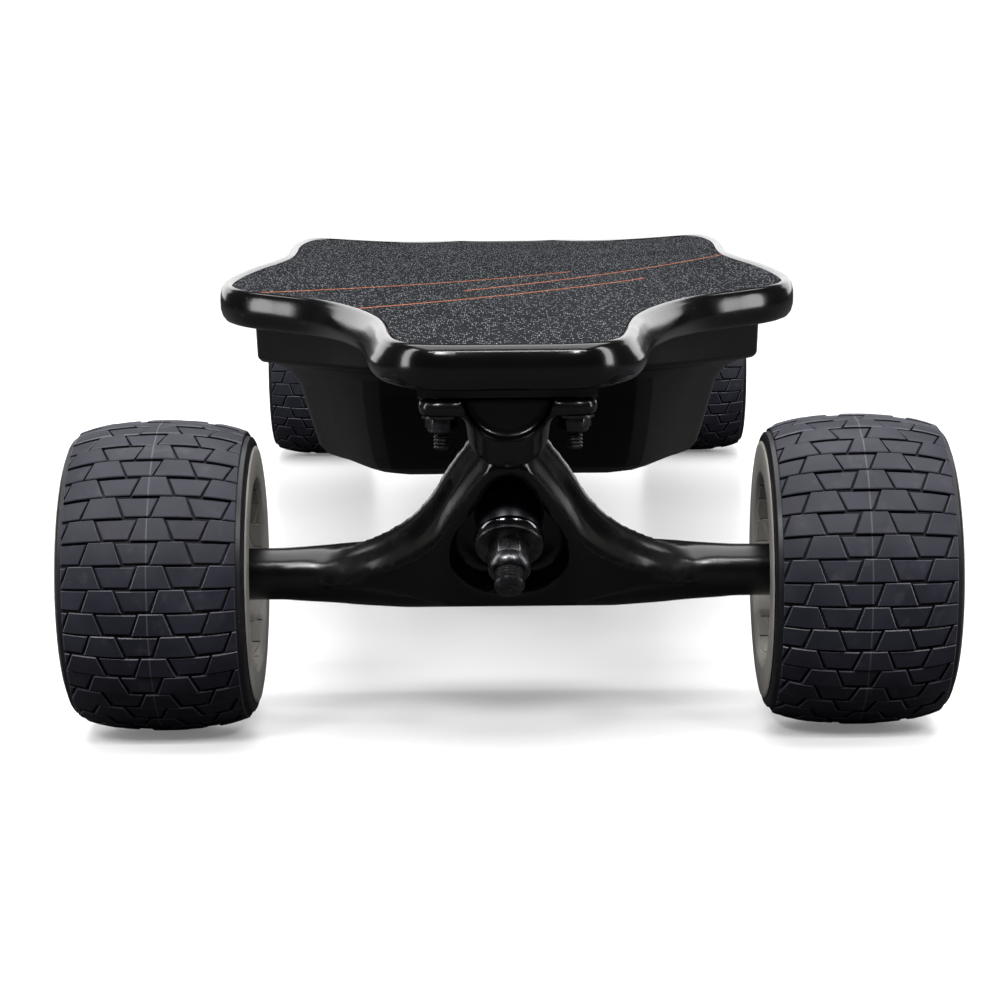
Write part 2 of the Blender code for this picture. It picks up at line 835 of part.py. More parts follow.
def build_front_wheel(name, side, y, parts, tools):
    """Tyre, core, bearing set and axle nut."""
    place = wheel_place(side, y)
    hub = (side * WHEEL_CENTRE_X, y, WHEEL_RADIUS)
    add_mesh(name + "_tyre", lathe(TYRE_SECTION, 40, place, ring=True), parts, "tyre", origin=hub)
    core_section = (
        (-0.0302, 0.0318),
        (-0.0302, 0.0383),
        (0.0302, 0.0383),
        (0.0302, 0.0318),
        (0.0040, 0.0308),
        (0.0040, 0.0160),
        (0.0130, 0.0152),
        (0.0130, 0.0112),
        (-0.0130, 0.0112),
        (-0.0130, 0.0152),
        (-0.0040, 0.0160),
        (-0.0040, 0.0308),
    )
    core = add_mesh(name + "_core", lathe(core_section, 28, place, ring=True), parts,
                    "core_plastic", origin=hub, smooth=False)
    windows = bmesh.new()
    for i in range(6):
        angle = 2.0 * math.pi * i / 6
        cy = 0.0235 * math.cos(angle)
        cz = 0.0235 * math.sin(angle)
        loops = []
        for axial in (-0.02, 0.02):
            loop = []
            for j in range(8):
                turn = 2.0 * math.pi * j / 8
                loop.append(place(axial, cy + 0.0058 * math.cos(turn), cz + 0.0058 * math.sin(turn)))
            loops.append(loop)
        rod = loft(loops)
        bmesh.ops.recalc_face_normals(rod, faces=rod.faces)
        mesh = bpy.data.meshes.new("rod")
        rod.to_mesh(mesh)
        rod.free()
        windows.from_mesh(mesh)
        bpy.data.meshes.remove(mesh)
    cut(core, add_cutter("cut_windows_" + name, windows, tools))
    bearing = lathe((
        (-0.0125, 0.0042),
        (-0.0125, 0.0110),
        (-0.0055, 0.0110),
        (-0.0055, 0.0058),
        (0.0055, 0.0058),
        (0.0055, 0.0110),
        (0.0125, 0.0110),
        (0.0125, 0.0042),
    ), 20, place, ring=True)
    add_mesh(name + "_bearings", bearing, parts, "bearing_steel", origin=hub)
    nut = hex_nut((
        (0.0129, 0.0043, False),
        (0.0129, 0.0075, True),
        (0.0184, 0.0075, True),
        (0.0189, 0.0062, False),
        (0.0205, 0.0060, False),
        (0.0205, 0.0043, False),
    ), place)
    add_mesh(name + "_axle_nut", nut, parts, "zinc_steel", smooth=False)


def build_rear_wheel(name, side, y, parts):
    """Tyre on a hub motor: rotor can, stator with its shaft, shaft nut."""
    place = wheel_place(side, y)
    hub = (side * WHEEL_CENTRE_X, y, WHEEL_RADIUS)
    add_mesh(name + "_tyre", lathe(TYRE_SECTION, 40, place, ring=True), parts, "tyre", origin=hub)
    can = lathe((
        (-0.0300, 0.0352),
        (-0.0300, 0.0383),
        (0.0290, 0.0383),
        (0.0290, 0.0350),
        (0.0205, 0.0330),
        (0.0180, 0.0120),
        (0.0180, 0.0062),
        (0.0150, 0.0062),
        (0.0150, 0.0120),
        (0.0165, 0.0352),
    ), 32, place, ring=True)
    add_mesh(name + "_motor_can", can, parts, "motor_shell", origin=hub)
    stator = lathe((
        (-0.0490, 0.0050),
        (-0.0262, 0.0050),
        (-0.0262, 0.0300),
        (-0.0250, 0.0340),
        (-0.0215, 0.0344),
        (-0.0215, 0.0310),
        (0.0110, 0.0310),
        (0.0110, 0.0090),
        (0.0140, 0.0090),
        (0.0140, 0.0050),
        (0.0262, 0.0050),
        (0.0270, 0.0042),
    ), 24, place)
    add_mesh(name + "_stator", stator, parts, "controller_case")
    nut = hex_nut((
        (0.0184, 0.0053, False),
        (0.0184, 0.0092, True),
        (0.0240, 0.0092, True),
        (0.0248, 0.0078, False),
        (0.0248, 0.0053, False),
    ), place)
    add_mesh(name + "_axle_nut", nut, parts, "zinc_steel", smooth=False)


def build_front_axle(truck, parts):
    """Steel rod through the hanger and both front wheels."""
    rod = lathe((
        (-0.1395, 0.0032),
        (-0.1387, 0.0040),
        (0.1387, 0.0040),
        (0.1395, 0.0032),
    ), 16, truck.about_axle)
    add_mesh("front_axle", rod, parts, "zinc_steel")


def main():
    """Build the whole board."""
    clear_scene()
    parts = make_collection(COLLECTION)
    tools = make_collection("cutters")
    front = Truck("front", -1.0, 0.0)
    rear = Truck("rear", 1.0, REAR_DROP)
    build_deck(parts, tools)
    build_enclosure(parts, tools)
    for truck in (front, rear):
        build_truck(truck, parts, tools)
    build_hanger(front, parts, tools, False)
    build_hanger(rear, parts, tools, True)
    build_front_axle(front, parts)
    for name, side in (("left", 1.0), ("right", -1.0)):
        build_front_wheel("front_" + name, side, front.axle_y, parts, tools)
        build_rear_wheel("rear_" + name, side, rear.axle_y, parts)


main()
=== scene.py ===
"""Finished look of an electric skateboard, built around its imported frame."""

import logging
import math
from dataclasses import dataclass
from enum import Enum
from typing import Callable, Iterable, Sequence, Union

import bmesh
import bpy
from mathutils import Matrix, Vector


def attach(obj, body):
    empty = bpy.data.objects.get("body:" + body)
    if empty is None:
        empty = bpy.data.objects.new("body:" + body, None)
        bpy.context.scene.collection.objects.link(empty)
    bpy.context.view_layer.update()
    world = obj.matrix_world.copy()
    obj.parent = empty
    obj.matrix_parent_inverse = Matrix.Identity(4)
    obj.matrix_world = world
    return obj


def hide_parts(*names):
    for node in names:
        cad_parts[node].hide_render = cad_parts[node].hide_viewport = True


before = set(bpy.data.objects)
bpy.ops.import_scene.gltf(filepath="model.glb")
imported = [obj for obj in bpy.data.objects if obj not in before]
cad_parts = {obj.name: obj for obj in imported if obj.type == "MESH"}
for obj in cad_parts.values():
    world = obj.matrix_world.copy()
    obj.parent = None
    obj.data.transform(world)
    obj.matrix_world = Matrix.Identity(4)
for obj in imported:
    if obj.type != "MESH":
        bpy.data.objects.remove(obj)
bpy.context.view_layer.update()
LOG = logging.getLogger("skateboard")

Colour = tuple[float, float, float]
Point = tuple[float, float, float]
Profile = Sequence[tuple[float, float]]
Shape = bmesh.types.BMesh

TURN = 2.0 * math.pi


class Body(Enum):
    """The moving bodies of the board."""

    BOARD = "board"
    FRONT_TRUCK = "front_truck"
    REAR_TRUCK = "rear_truck"
    CAP = "charge_cap"
    KEY = "power_key"


class End(Enum):
    """The two ends of the board, with the sign of their Y."""

    FRONT = -1.0
    REAR = 1.0

    @property
    def tag(self) -> str:
        """The end's name in piece names."""
        return self.name.lower()

    @property
    def truck(self) -> str:
        """The body that the end's hanger rides on."""
        return self.tag + "_truck"


# ---------------------------------------------------------------- shader maths
class Value:
    """A shader socket that Python's operators combine."""

    def __init__(self, paint: "Paint", socket: bpy.types.NodeSocket) -> None:
        """Keep the socket and the paint it belongs to."""
        self.paint = paint
        self.socket = socket

    def _math(self, operation: str, first: "Number", second: "Number" = 0.0) -> "Value":
        """Add one Math node."""
        return self.paint.node("ShaderNodeMath", {"operation": operation}, {0: first, 1: second})

    def __add__(self, other: "Number") -> "Value":
        """Sum."""
        return self._math("ADD", self, other)

    def __sub__(self, other: "Number") -> "Value":
        """Difference."""
        return self._math("SUBTRACT", self, other)

    def __rsub__(self, other: "Number") -> "Value":
        """Difference from a number."""
        return self._math("SUBTRACT", other, self)

    def __mul__(self, other: "Number") -> "Value":
        """Product."""
        return self._math("MULTIPLY", self, other)

    def __gt__(self, other: "Number") -> "Value":
        """1 where greater."""
        return self._math("GREATER_THAN", self, other)

    def __lt__(self, other: "Number") -> "Value":
        """1 where less."""
        return self._math("LESS_THAN", self, other)

    def __abs__(self) -> "Value":
        """Size without sign."""
        return self._math("ABSOLUTE", self)

    def __pow__(self, other: "Number") -> "Value":
        """Power."""
        return self._math("POWER", self, other)

    __radd__ = __add__
    __rmul__ = __mul__

    def between(self, low: float, high: float) -> "Value":
        """Smooth step from 0 at low to 1 at high."""
        return self.paint.node(
            "ShaderNodeMapRange",
            {"interpolation_type": "SMOOTHSTEP"},
            {0: self, 1: low, 2: high, 3: 0.0, 4: 1.0},
        )


Number = Union[Value, float]


class Paint:
    """One material's node tree and the calls that fill it."""

    def __init__(self, name: str) -> None:
        """Start a material with a Principled shader."""
        self.material = bpy.data.materials.new(name)
        self.material.use_nodes = True
        self.tree = self.material.node_tree
        self.shader = self.tree.nodes["Principled BSDF"]
        self.place = self.node("ShaderNodeTexCoord", output="Object")

    def node(
        self,
        kind: str,
        settings: dict[str, object] | None = None,
        sockets: dict[object, object] | None = None,
        output: int | str = 0,
    ) -> Value:
        """Add any node.

        Args:
            kind: The node's type.
            settings: Its properties, set before its sockets.
            sockets: Values or links for its inputs.
            output: Which output is returned.

        Returns:
            The chosen output.
        """
        made = self.tree.nodes.new(kind)
        for key, value in (settings or {}).items():
            setattr(made, key, value)
        for key, value in (sockets or {}).items():
            self.feed(made.inputs[key], value)
        return Value(self, made.outputs[output])

    def feed(self, socket: bpy.types.NodeSocket, value: object) -> None:
        """Link a Value to a socket, or set a plain number, vector or colour on it.

        Args:
            socket: The input.
            value: What goes in.
        """
        if isinstance(value, Value):
            self.tree.links.new(value.socket, socket)
        elif socket.type == "RGBA":
            socket.default_value = (*value, 1.0)
        else:
            socket.default_value = value

    def stretched(self, scale: Point) -> Value:
        """Object coordinates with each axis scaled."""
        return self.node("ShaderNodeMapping", None, {"Vector": self.place, "Scale": scale})

    def noise(self, scale: float, detail: float = 2.0, place: Value | None = None) -> Value:
        """Read a noise texture.

        Args:
            scale: Size of the pattern, per metre.
            detail: Octaves.
            place: Other coordinates than the object's.

        Returns:
            Values from 0 to 1.
        """
        return self.node(
            "ShaderNodeTexNoise",
            None,
            {"Vector": place or self.place, "Scale": scale, "Detail": detail},
        )

    def cells(self, scale: float, output: int, place: Value | None = None) -> Value:
        """Read a Voronoi texture.

        Args:
            scale: Cells per metre.
            output: 0 for the distance, 1 for the cell's random colour.
            place: Other coordinates than the object's.

        Returns:
            The chosen output.
        """
        return self.node(
            "ShaderNodeTexVoronoi", None,
            {"Vector": place or self.place, "Scale": scale}, output
        )

    def axis(self, index: int, source: Value | None = None) -> Value:
        """One coordinate of the object place or of another vector."""
        return self.node("ShaderNodeSeparateXYZ", None, {0: source or self.place}, index)

    def mix(self, share: Number, first: object, second: object) -> Value:
        """Blend two colours.

        Args:
            share: 0 for the first, 1 for the second.
            first: One colour.
            second: The other.

        Returns:
            The blend.
        """
        return self.node(
            "ShaderNodeMix", {"data_type": "RGBA"}, {0: share, 6: first, 7: second}, 2
        )

    def bump(self, height: Value, distance: float, strength: float = 0.8) -> Value:
        """Turn a height into a normal.

        Args:
            height: The height, from 0 to 1.
            distance: How deep that is, in metres.
            strength: How much of it shows.

        Returns:
            The normal.
        """
        return self.node(
            "ShaderNodeBump",
            None,
            {"Strength": strength, "Distance": distance, "Height": height},
        )

    def dress(self, **inputs: object) -> None:
        """Feed the shader; underscores stand for spaces in socket names."""
        for key, value in inputs.items():
            self.feed(self.shader.inputs[key.replace("_", " ")], value)


# ---------------------------------------------------------------- finishes
@dataclass(frozen=True)
class Finish:
    """A surface whose colour drifts, with a fine grain and optional scuffs."""

    name: str
    colour: Colour
    second: Colour
    roughness: float
    drift: float = 35.0
    grain: float = 1400.0
    grain_depth: float = 0.00002
    spread: float = 0.07
    metallic: float = 0.0
    coat: float = 0.0
    coat_roughness: float = 0.08
    scuff: float = 0.0
    scuff_colour: Colour = (0.16, 0.16, 0.17)
    specular: float = 0.5

    def material(self) -> bpy.types.Material:
        """The finish's material, made once."""
        known = bpy.data.materials.get(self.name)
        if known:
            return known
        paint = Paint(self.name)
        colour = paint.mix(
            paint.noise(self.drift, 4.0).between(0.35, 0.65), self.colour, self.second
        )
        roughness = self.roughness + (paint.noise(self.drift * 4.0, 5.0) - 0.5) * (
            2.0 * self.spread
        )
        height = paint.noise(self.grain, 2.0)
        if self.scuff > 0.0:
            lines = paint.noise(420.0, 3.0, paint.stretched((1.0, 0.06, 1.0)))
            marks = lines.between(0.66, 0.70) * paint.noise(18.0, 3.0).between(0.45, 0.60)
            colour = paint.mix(marks * self.scuff, colour, self.scuff_colour)
            roughness = roughness + marks * (0.25 * self.scuff)
        colour, roughness, height = self.pattern(paint, colour, roughness, height)
        paint.dress(
            Base_Color=colour,
            Roughness=roughness,
            Normal=paint.bump(height, self.grain_depth),
            Metallic=self.metallic,
            Coat_Weight=self.coat,
            Coat_Roughness=self.coat_roughness,
            Specular_IOR_Level=self.specular,
        )
        return paint.material

    def pattern(
        self, paint: Paint, colour: Value, roughness: Value, height: Value
    ) -> tuple[Value, Value, Value]:
        """Add what is special to a finish.

        Args:
            paint: The material being filled.
            colour: Colour so far.
            roughness: Roughness so far.
            height: Bump height so far.

        Returns:
            The three, changed or not.
        """
        return colour, roughness, height


@dataclass(frozen=True)
class TreadRubber(Finish):
    """Tyre rubber with the fine parting line of its mould round the crown."""

    line_x: float = 0.1161
    line_half: float = 0.00022
    line_colour: Colour = (0.17, 0.17, 0.19)

    def pattern(
        self, paint: Paint, colour: Value, roughness: Value, height: Value
    ) -> tuple[Value, Value, Value]:
        """Draw the parting line and a trace of pale dust."""
        off = abs(abs(paint.axis(0)) - self.line_x)
        line = 1.0 - off.between(self.line_half * 0.5, self.line_half * 1.6)
        dust = paint.noise(160.0, 6.0).between(0.56, 0.78) * 0.22
        dusty = paint.mix(dust, colour, (0.10, 0.10, 0.11))
        colour = paint.mix(line * 0.3, dusty, self.line_colour)
        return colour, roughness - line * 0.12, height + line * 2.0


@dataclass(frozen=True)
class GripSheet(Finish):
    """Charcoal grit whose specks are painted pale as their glints, and thin printed pinstripes."""

    stripes: tuple[tuple[float, float, float, float], ...] = ()
    stripe_half: float = 0.0007
    stripe_colour: Colour = (0.50, 0.17, 0.07)
    glint_speck: float = 1550.0

    def pattern(
        self, paint: Paint, colour: Value, roughness: Value, height: Value
    ) -> tuple[Value, Value, Value]:
        """Scatter the grit specks, painted pale as their glints, then print each stripe."""
        grains = paint.stretched((1.0, 0.45, 1.0))
        chance = paint.axis(0, paint.cells(self.glint_speck, 1, grains))
        glint_speck = (chance > 0.78) * (paint.cells(self.glint_speck, 0, grains) < 0.34)
        # Painted glint: the pale speck colour stands in for the sparkle of the dark grit.
        colour = paint.mix(glint_speck * 0.8, colour, (0.50, 0.51, 0.54))
        x, y = paint.axis(0), paint.axis(1)
        for x0, y0, x1, y1 in self.stripes:
            length = math.hypot(x1 - x0, y1 - y0)
            tx, ty = (x1 - x0) / length, (y1 - y0) / length
            off = abs(x * -ty + y * tx + (x0 * ty - y0 * tx))
            along = x * tx + y * ty - (x0 * tx + y0 * ty)
            mask = (off < self.stripe_half) * (along > 0.0) * (along < length)
            colour = paint.mix(mask * 0.85, colour, self.stripe_colour)
        return colour, roughness - glint_speck * 0.3, height


@dataclass(frozen=True)
class Veneer(Finish):
    """Laminated maple: long grain along the board."""

    def pattern(
        self, paint: Paint, colour: Value, roughness: Value, height: Value
    ) -> tuple[Value, Value, Value]:
        """Lay the grain lines and the pores."""
        grain = paint.noise(90.0, 6.0, paint.stretched((1.0, 0.045, 3.0)))
        pores = paint.noise(900.0, 3.0, paint.stretched((1.0, 0.03, 1.0))).between(0.58, 0.70)
        colour = paint.mix(grain.between(0.40, 0.62) * 0.7, colour, (0.23, 0.125, 0.055))
        colour = paint.mix(pores * 0.45, colour, (0.12, 0.065, 0.03))
        return colour, roughness + pores * 0.1, height + grain * 2.0 - pores


@dataclass(frozen=True)
class TurnedMetal(Finish):
    """Metal faced on a lathe: fine rings about the wheel axle."""

    axle_y: float = 0.39
    axle_z: float = 0.0525
    rings: float = 2600.0

    def pattern(
        self, paint: Paint, colour: Value, roughness: Value, height: Value
    ) -> tuple[Value, Value, Value]:
        """Cut the rings."""
        across = abs(paint.axis(1)) - self.axle_y
        up = paint.axis(2) - self.axle_z
        radius = (across * across + up * up) ** 0.5
        line = paint.node("ShaderNodeCombineXYZ", None, {0: radius, 1: paint.axis(0) * 0.2})
        ring = paint.noise(self.rings, 2.0, line)
        return colour, roughness + (ring - 0.5) * 0.25, height + ring * 1.5


@dataclass(frozen=True)
class BrushedCase(Finish):
    """Drawn aluminium with lines along the board."""

    def pattern(
        self, paint: Paint, colour: Value, roughness: Value, height: Value
    ) -> tuple[Value, Value, Value]:
        """Draw the lines."""
        lines = paint.noise(1500.0, 2.0, paint.stretched((1.0, 0.02, 1.0)))
        return colour, roughness + (lines - 0.5) * 0.3, height + lines


TREAD_TOP = TreadRubber("tread_block_rubber", (0.013, 0.013, 0.022), (0.021, 0.0212, 0.033), 0.55,
                        drift=60.0, grain=2200.0, spread=0.10, grain_depth=0.000022,
                        specular=0.3)
# Painted highlight: the block chamfers are lighter than the block tops to stand in for the light
# their edges catch.
TREAD_EDGE_HIGHLIGHT = TreadRubber("tread_edge_painted_highlight", (0.052, 0.053, 0.072), (0.030, 0.031, 0.044), 0.42,
                         drift=120.0, grain=2600.0)
# Painted shade: the groove sides and floor are darker than the block tops to stand in for the shade
# inside the narrow grooves.
TREAD_GROOVE_SHADE = TreadRubber("tread_groove_painted_shade", (0.005, 0.005, 0.008), (0.008, 0.008, 0.012),
                           0.65, drift=90.0, line_half=0.0001, specular=0.2)
SIDE_RUBBER = Finish("tyre_side_rubber", (0.009, 0.009, 0.012), (0.014, 0.014, 0.018), 0.40,
                     drift=70.0, grain=1800.0, scuff=0.2, specular=0.35)
BUMPER_RUBBER = Finish("bumper_rubber", (0.0014, 0.0014, 0.0017), (0.0024, 0.0024, 0.0028), 0.16,
                       drift=22.0, grain=1100.0, grain_depth=0.000008, spread=0.04, scuff=0.08)
PAD_RUBBER = Finish("pad_rubber", (0.016, 0.016, 0.017), (0.024, 0.024, 0.025), 0.55)
GRIP = GripSheet("grip_grit", (0.017, 0.018, 0.020), (0.022, 0.023, 0.025), 0.96, drift=9.0,
                 grain=1700.0, grain_depth=0.00005, spread=0.03, specular=0.0, stripes=(
                     (-0.0949, -0.2584, 0.0290, -0.0786),
                     (-0.0628, -0.3339, 0.0583, -0.1558),
                     (-0.0171, -0.2134, 0.1058, -0.0042),
                 ))
DECK_WOOD = Veneer("maple_veneer", (0.42, 0.27, 0.14), (0.34, 0.21, 0.10), 0.38, drift=9.0,
                   coat=0.5, coat_roughness=0.15, grain_depth=0.00003)
TRAY_PLASTIC = Finish("moulded_tray", (0.0014, 0.0014, 0.0017), (0.0024, 0.0024, 0.0028), 0.34,
                      drift=12.0, grain=1900.0, grain_depth=0.000022, scuff=0.08, specular=0.4)
CAST_PAINT = Finish("cast_black_paint", (0.0014, 0.0014, 0.0017), (0.0024, 0.0024, 0.0028), 0.22,
                    drift=28.0, grain=520.0, grain_depth=0.000012, spread=0.05, scuff=0.08)
BLACK_STEEL = Finish("black_oxide_steel", (0.055, 0.055, 0.060), (0.11, 0.11, 0.115), 0.30,
                     drift=260.0, grain=2400.0, spread=0.12, metallic=1.0, scuff=0.8,
                     scuff_colour=(0.42, 0.42, 0.43))
CUP_STEEL = Finish("glossy_cup_steel", (0.030, 0.030, 0.034), (0.048, 0.048, 0.052), 0.14,
                   drift=200.0, grain=1500.0, grain_depth=0.00001, metallic=1.0, coat=0.6,
                   coat_roughness=0.05, scuff=0.4, scuff_colour=(0.3, 0.3, 0.3))
URETHANE = Finish("bushing_urethane", (0.007, 0.0075, 0.013), (0.010, 0.011, 0.018), 0.34,
                  drift=110.0, grain=800.0)
CORE_GREY = Finish("core_warm_grey", (0.42, 0.40, 0.37), (0.35, 0.334, 0.31), 0.40,
                   drift=55.0, grain=1300.0, scuff=0.35, scuff_colour=(0.16, 0.15, 0.14))
# Painted highlight: the tile chamfers on the core walls are lighter than the tile faces to stand in
# for the light their edges catch.
CORE_EDGE_HIGHLIGHT = Finish("core_tile_edge", (0.52, 0.50, 0.465), (0.44, 0.42, 0.39), 0.40)
# Painted shade: the seams between the core's tiles are near black to stand in for the shade inside
# the gaps.
CORE_SEAM_SHADE = Finish("core_seam_painted_shade", (0.045, 0.042, 0.040), (0.06, 0.056, 0.052), 0.60)
BEARING = TurnedMetal("bearing_steel_faced", (0.50, 0.50, 0.51), (0.58, 0.58, 0.59), 0.22,
                      metallic=1.0, drift=180.0)
MOTOR_SHELL = TurnedMetal("motor_shell_anodised", (0.028, 0.028, 0.030), (0.040, 0.040, 0.043),
                          0.34, metallic=0.85, drift=50.0, scuff=0.4)
MOTOR_CORE = TurnedMetal("motor_back_plate", (0.22, 0.22, 0.23), (0.30, 0.30, 0.31), 0.34,
                         metallic=1.0, drift=90.0, scuff=0.5, scuff_colour=(0.1, 0.1, 0.1))
PACK_WRAP = Finish("pack_shrink_wrap", (0.03, 0.09, 0.26), (0.04, 0.12, 0.33), 0.24, drift=30.0,
                   grain=140.0, grain_depth=0.0006, coat=0.3)
CASE_METAL = BrushedCase("controller_case_metal", (0.40, 0.41, 0.43), (0.34, 0.35, 0.37), 0.36,
                         metallic=1.0, drift=60.0)
SOFT_KEY = Finish("cap_rubber", (0.017, 0.017, 0.018), (0.024, 0.024, 0.026), 0.48, drift=150.0)


# ---------------------------------------------------------------- mesh tools
@dataclass(frozen=True)
class Seat:
    """Where a local shape goes: its origin and the world directions of local X, Y and Z."""

    origin: Point
    x: Point = (1.0, 0.0, 0.0)
    y: Point = (0.0, 1.0, 0.0)
    z: Point = (0.0, 0.0, 1.0)

    @property
    def matrix(self) -> Matrix:
        """The seat as a transform."""
        made = Matrix((self.x, self.y, self.z)).transposed().to_4x4()
        made.translation = self.origin
        return made

    def turned_about(self, axis: str) -> "Seat":
        """The same seat with the named local axis first, for turned shapes."""
        order = {"x": (self.x, self.y, self.z), "y": (self.y, self.z, self.x),
                 "z": (self.z, self.x, self.y)}[axis]
        return Seat(self.origin, *order)


def moved(shape: Shape, seat: Seat | Matrix) -> Shape:
    """Place a local shape.

    Args:
        shape: The shape; it is moved in place.
        seat: Where it goes.

    Returns:
        The same shape.
    """
    matrix = seat.matrix if isinstance(seat, Seat) else seat
    bmesh.ops.transform(shape, matrix=matrix, verts=shape.verts)
    return shape


def turned(profile: Profile, seat: Seat, segments: int = 64, closed: bool = True) -> Shape:
    """Spin a profile about the seat's local X.

    Args:
        profile: (axial, radius) points in metres.
        seat: Where the shape goes.
        segments: Steps in the full turn.
        closed: Join the last point to the first.

    Returns:
        The turned shape.
    """
    shape = bmesh.new()
    chain = [shape.verts.new((axial, radius, 0.0)) for axial, radius in profile]
    pairs = list(zip(chain, chain[1:]))
    if closed:
        pairs.append((chain[-1], chain[0]))
    edges = [shape.edges.new(pair) for pair in pairs]
    bmesh.ops.spin(shape, geom=chain + edges, cent=(0.0, 0.0, 0.0), axis=(1.0, 0.0, 0.0),
                   dvec=(0.0, 0.0, 0.0), angle=TURN, steps=segments, use_merge=True)
    tidy(shape)
    return moved(shape, seat)


def rod(profile: Profile, seat: Seat, segments: int = 48) -> Shape:
    """Turn a solid piece: its ends are closed on the axis.

    Args:
        profile: (axial, radius) points in metres.
        seat: Where the shape goes.
        segments: Steps in the full turn.

    Returns:
        The turned solid.
    """
    full = [(profile[0][0], 0.0), *profile, (profile[-1][0], 0.0)]
    return turned(full, seat, segments, closed=False)


def tidy(shape: Shape) -> None:
    """Merge doubles and point every face outward.

    Args:
        shape: The shape; it is changed in place.
    """
    bmesh.ops.remove_doubles(shape, verts=shape.verts, dist=0.000001)
    bmesh.ops.dissolve_degenerate(shape, edges=shape.edges, dist=0.0000005)
    bmesh.ops.recalc_face_normals(shape, faces=shape.faces)


def plate(outline: Profile, low: float, high: float, seat: Seat) -> Shape:
    """Extrude a closed outline.

    Args:
        outline: Local (x, y) points.
        low: Local height of one face.
        high: Local height of the other.
        seat: Where the shape goes.

    Returns:
        The plate.
    """
    shape = bmesh.new()
    shape.faces.new([shape.verts.new((x, y, low)) for x, y in outline])
    grown = bmesh.ops.extrude_face_region(shape, geom=shape.faces[:])
    fresh = [item for item in grown["geom"] if isinstance(item, bmesh.types.BMVert)]
    bmesh.ops.translate(shape, verts=fresh, vec=(0.0, 0.0, high - low))
    moved(shape, seat)
    bmesh.ops.recalc_face_normals(shape, faces=shape.faces)
    return shape


def next_row(
    shape: Shape, row: list[bmesh.types.BMVert], edges: list[bmesh.types.BMEdge],
    targets: Sequence[Point],
) -> tuple[list[bmesh.types.BMVert], list[bmesh.types.BMEdge]]:
    """Extrude a row or ring of edges and put the new points on their targets.

    Args:
        shape: The shape that grows.
        row: The current points, in order.
        edges: The edges between them.
        targets: Where the new points go, in the same order.

    Returns:
        The new points and edges.
    """
    order = {vert: index for index, vert in enumerate(row)}
    grown = bmesh.ops.extrude_edge_only(shape, edges=edges)["geom"]
    edges = [item for item in grown if isinstance(item, bmesh.types.BMEdge)
             and all(vert not in order for vert in item.verts)]
    fresh = {}
    for face in {face for edge in edges for face in edge.link_faces}:
        for edge in face.edges:
            old = [vert for vert in edge.verts if vert in order]
            new = [vert for vert in edge.verts if vert not in order]
            if old and new:
                fresh[order[old[0]]] = new[0]
    row = [fresh[index] for index in range(len(targets))]
    for vert, target in zip(row, targets):
        vert.co = target
    return row, edges


def hexagon(radius: float, low: float, high: float, seat: Seat, chamfer: float = 0.0005) -> Shape:
    """A six-sided nut body with softened edges, along the seat's local X.

    Args:
        radius: From the axis to a corner.
        low: Axial start.
        high: Axial end.
        seat: Where the shape goes.
        chamfer: Width of the softened edges.

    Returns:
        The body.
    """
    shape = bmesh.new()
    bmesh.ops.create_circle(shape, cap_ends=True, segments=6, radius=radius)
    grown = bmesh.ops.extrude_face_region(shape, geom=shape.faces[:])
    fresh = [item for item in grown["geom"] if isinstance(item, bmesh.types.BMVert)]
    bmesh.ops.translate(shape, verts=fresh, vec=(0.0, 0.0, high - low))
    bmesh.ops.translate(shape, verts=shape.verts, vec=(0.0, 0.0, low))
    bmesh.ops.recalc_face_normals(shape, faces=shape.faces)
    soften(shape, chamfer, 2)
    bmesh.ops.transform(shape, matrix=Matrix.Rotation(math.pi / 2.0, 4, "Y"), verts=shape.verts)
    return moved(shape, seat)


def soften(shape: Shape, width: float, segments: int = 2, angle: float = 0.6) -> Shape:
    """Bevel every edge that turns more than the angle.

    Args:
        shape: The shape; it is changed in place.
        width: Bevel width.
        segments: Steps in the bevel.
        angle: The least turn, in radians.

    Returns:
        The same shape.
    """
    sharp = [edge for edge in shape.edges
             if len(edge.link_faces) == 2 and edge.calc_face_angle() > angle]
    bmesh.ops.bevel(shape, geom=sharp, offset=width, affect="EDGES", segments=segments,
                    profile=0.5, material=-1, clamp_overlap=True)
    return shape


def joined(*shapes: Shape) -> Shape:
    """Put several shapes together, still as separate shells.

    Args:
        shapes: The shapes; they are freed.

    Returns:
        The whole.
    """
    whole = bmesh.new()
    for shape in shapes:
        mesh = bpy.data.meshes.new("part")
        shape.to_mesh(mesh)
        shape.free()
        whole.from_mesh(mesh)
        bpy.data.meshes.remove(mesh)
    return whole


def through(shape: Shape, setup: Callable[[bpy.types.Object], None]) -> Shape:
    """Run modifiers on a shape.

    Args:
        shape: The shape; it is freed.
        setup: Adds the modifiers to a stand-in object.

    Returns:
        The evaluated shape.
    """
    mesh = bpy.data.meshes.new("stand_in")
    shape.to_mesh(mesh)
    shape.free()
    holder = bpy.data.objects.new("stand_in", mesh)
    bpy.context.scene.collection.objects.link(holder)
    setup(holder)
    graph = bpy.context.evaluated_depsgraph_get()
    result = bmesh.new()
    result.from_object(holder, graph)
    bpy.data.objects.remove(holder, do_unlink=True)
    bpy.data.meshes.remove(mesh)
    return result


def carved(shape: Shape, cutter: Shape) -> Shape:
    """Cut one shape from another exactly.

    Args:
        shape: What is cut; it is freed.
        cutter: What is taken away; it is freed.

    Returns:
        What is left.
    """
    mesh = bpy.data.meshes.new("cutter")
    bmesh.ops.recalc_face_normals(cutter, faces=cutter.faces)
    cutter.to_mesh(mesh)
    cutter.free()
    tool = bpy.data.objects.new("cutter", mesh)
    bpy.context.scene.collection.objects.link(tool)

    def setup(holder: bpy.types.Object) -> None:
        """Add the difference."""
        step = holder.modifiers.new("carve", "BOOLEAN")
        step.operation = "DIFFERENCE"
        step.solver = "EXACT"
        step.object = tool

    result = through(shape, setup)
    bpy.data.objects.remove(tool, do_unlink=True)
    bpy.data.meshes.remove(mesh)
    return result


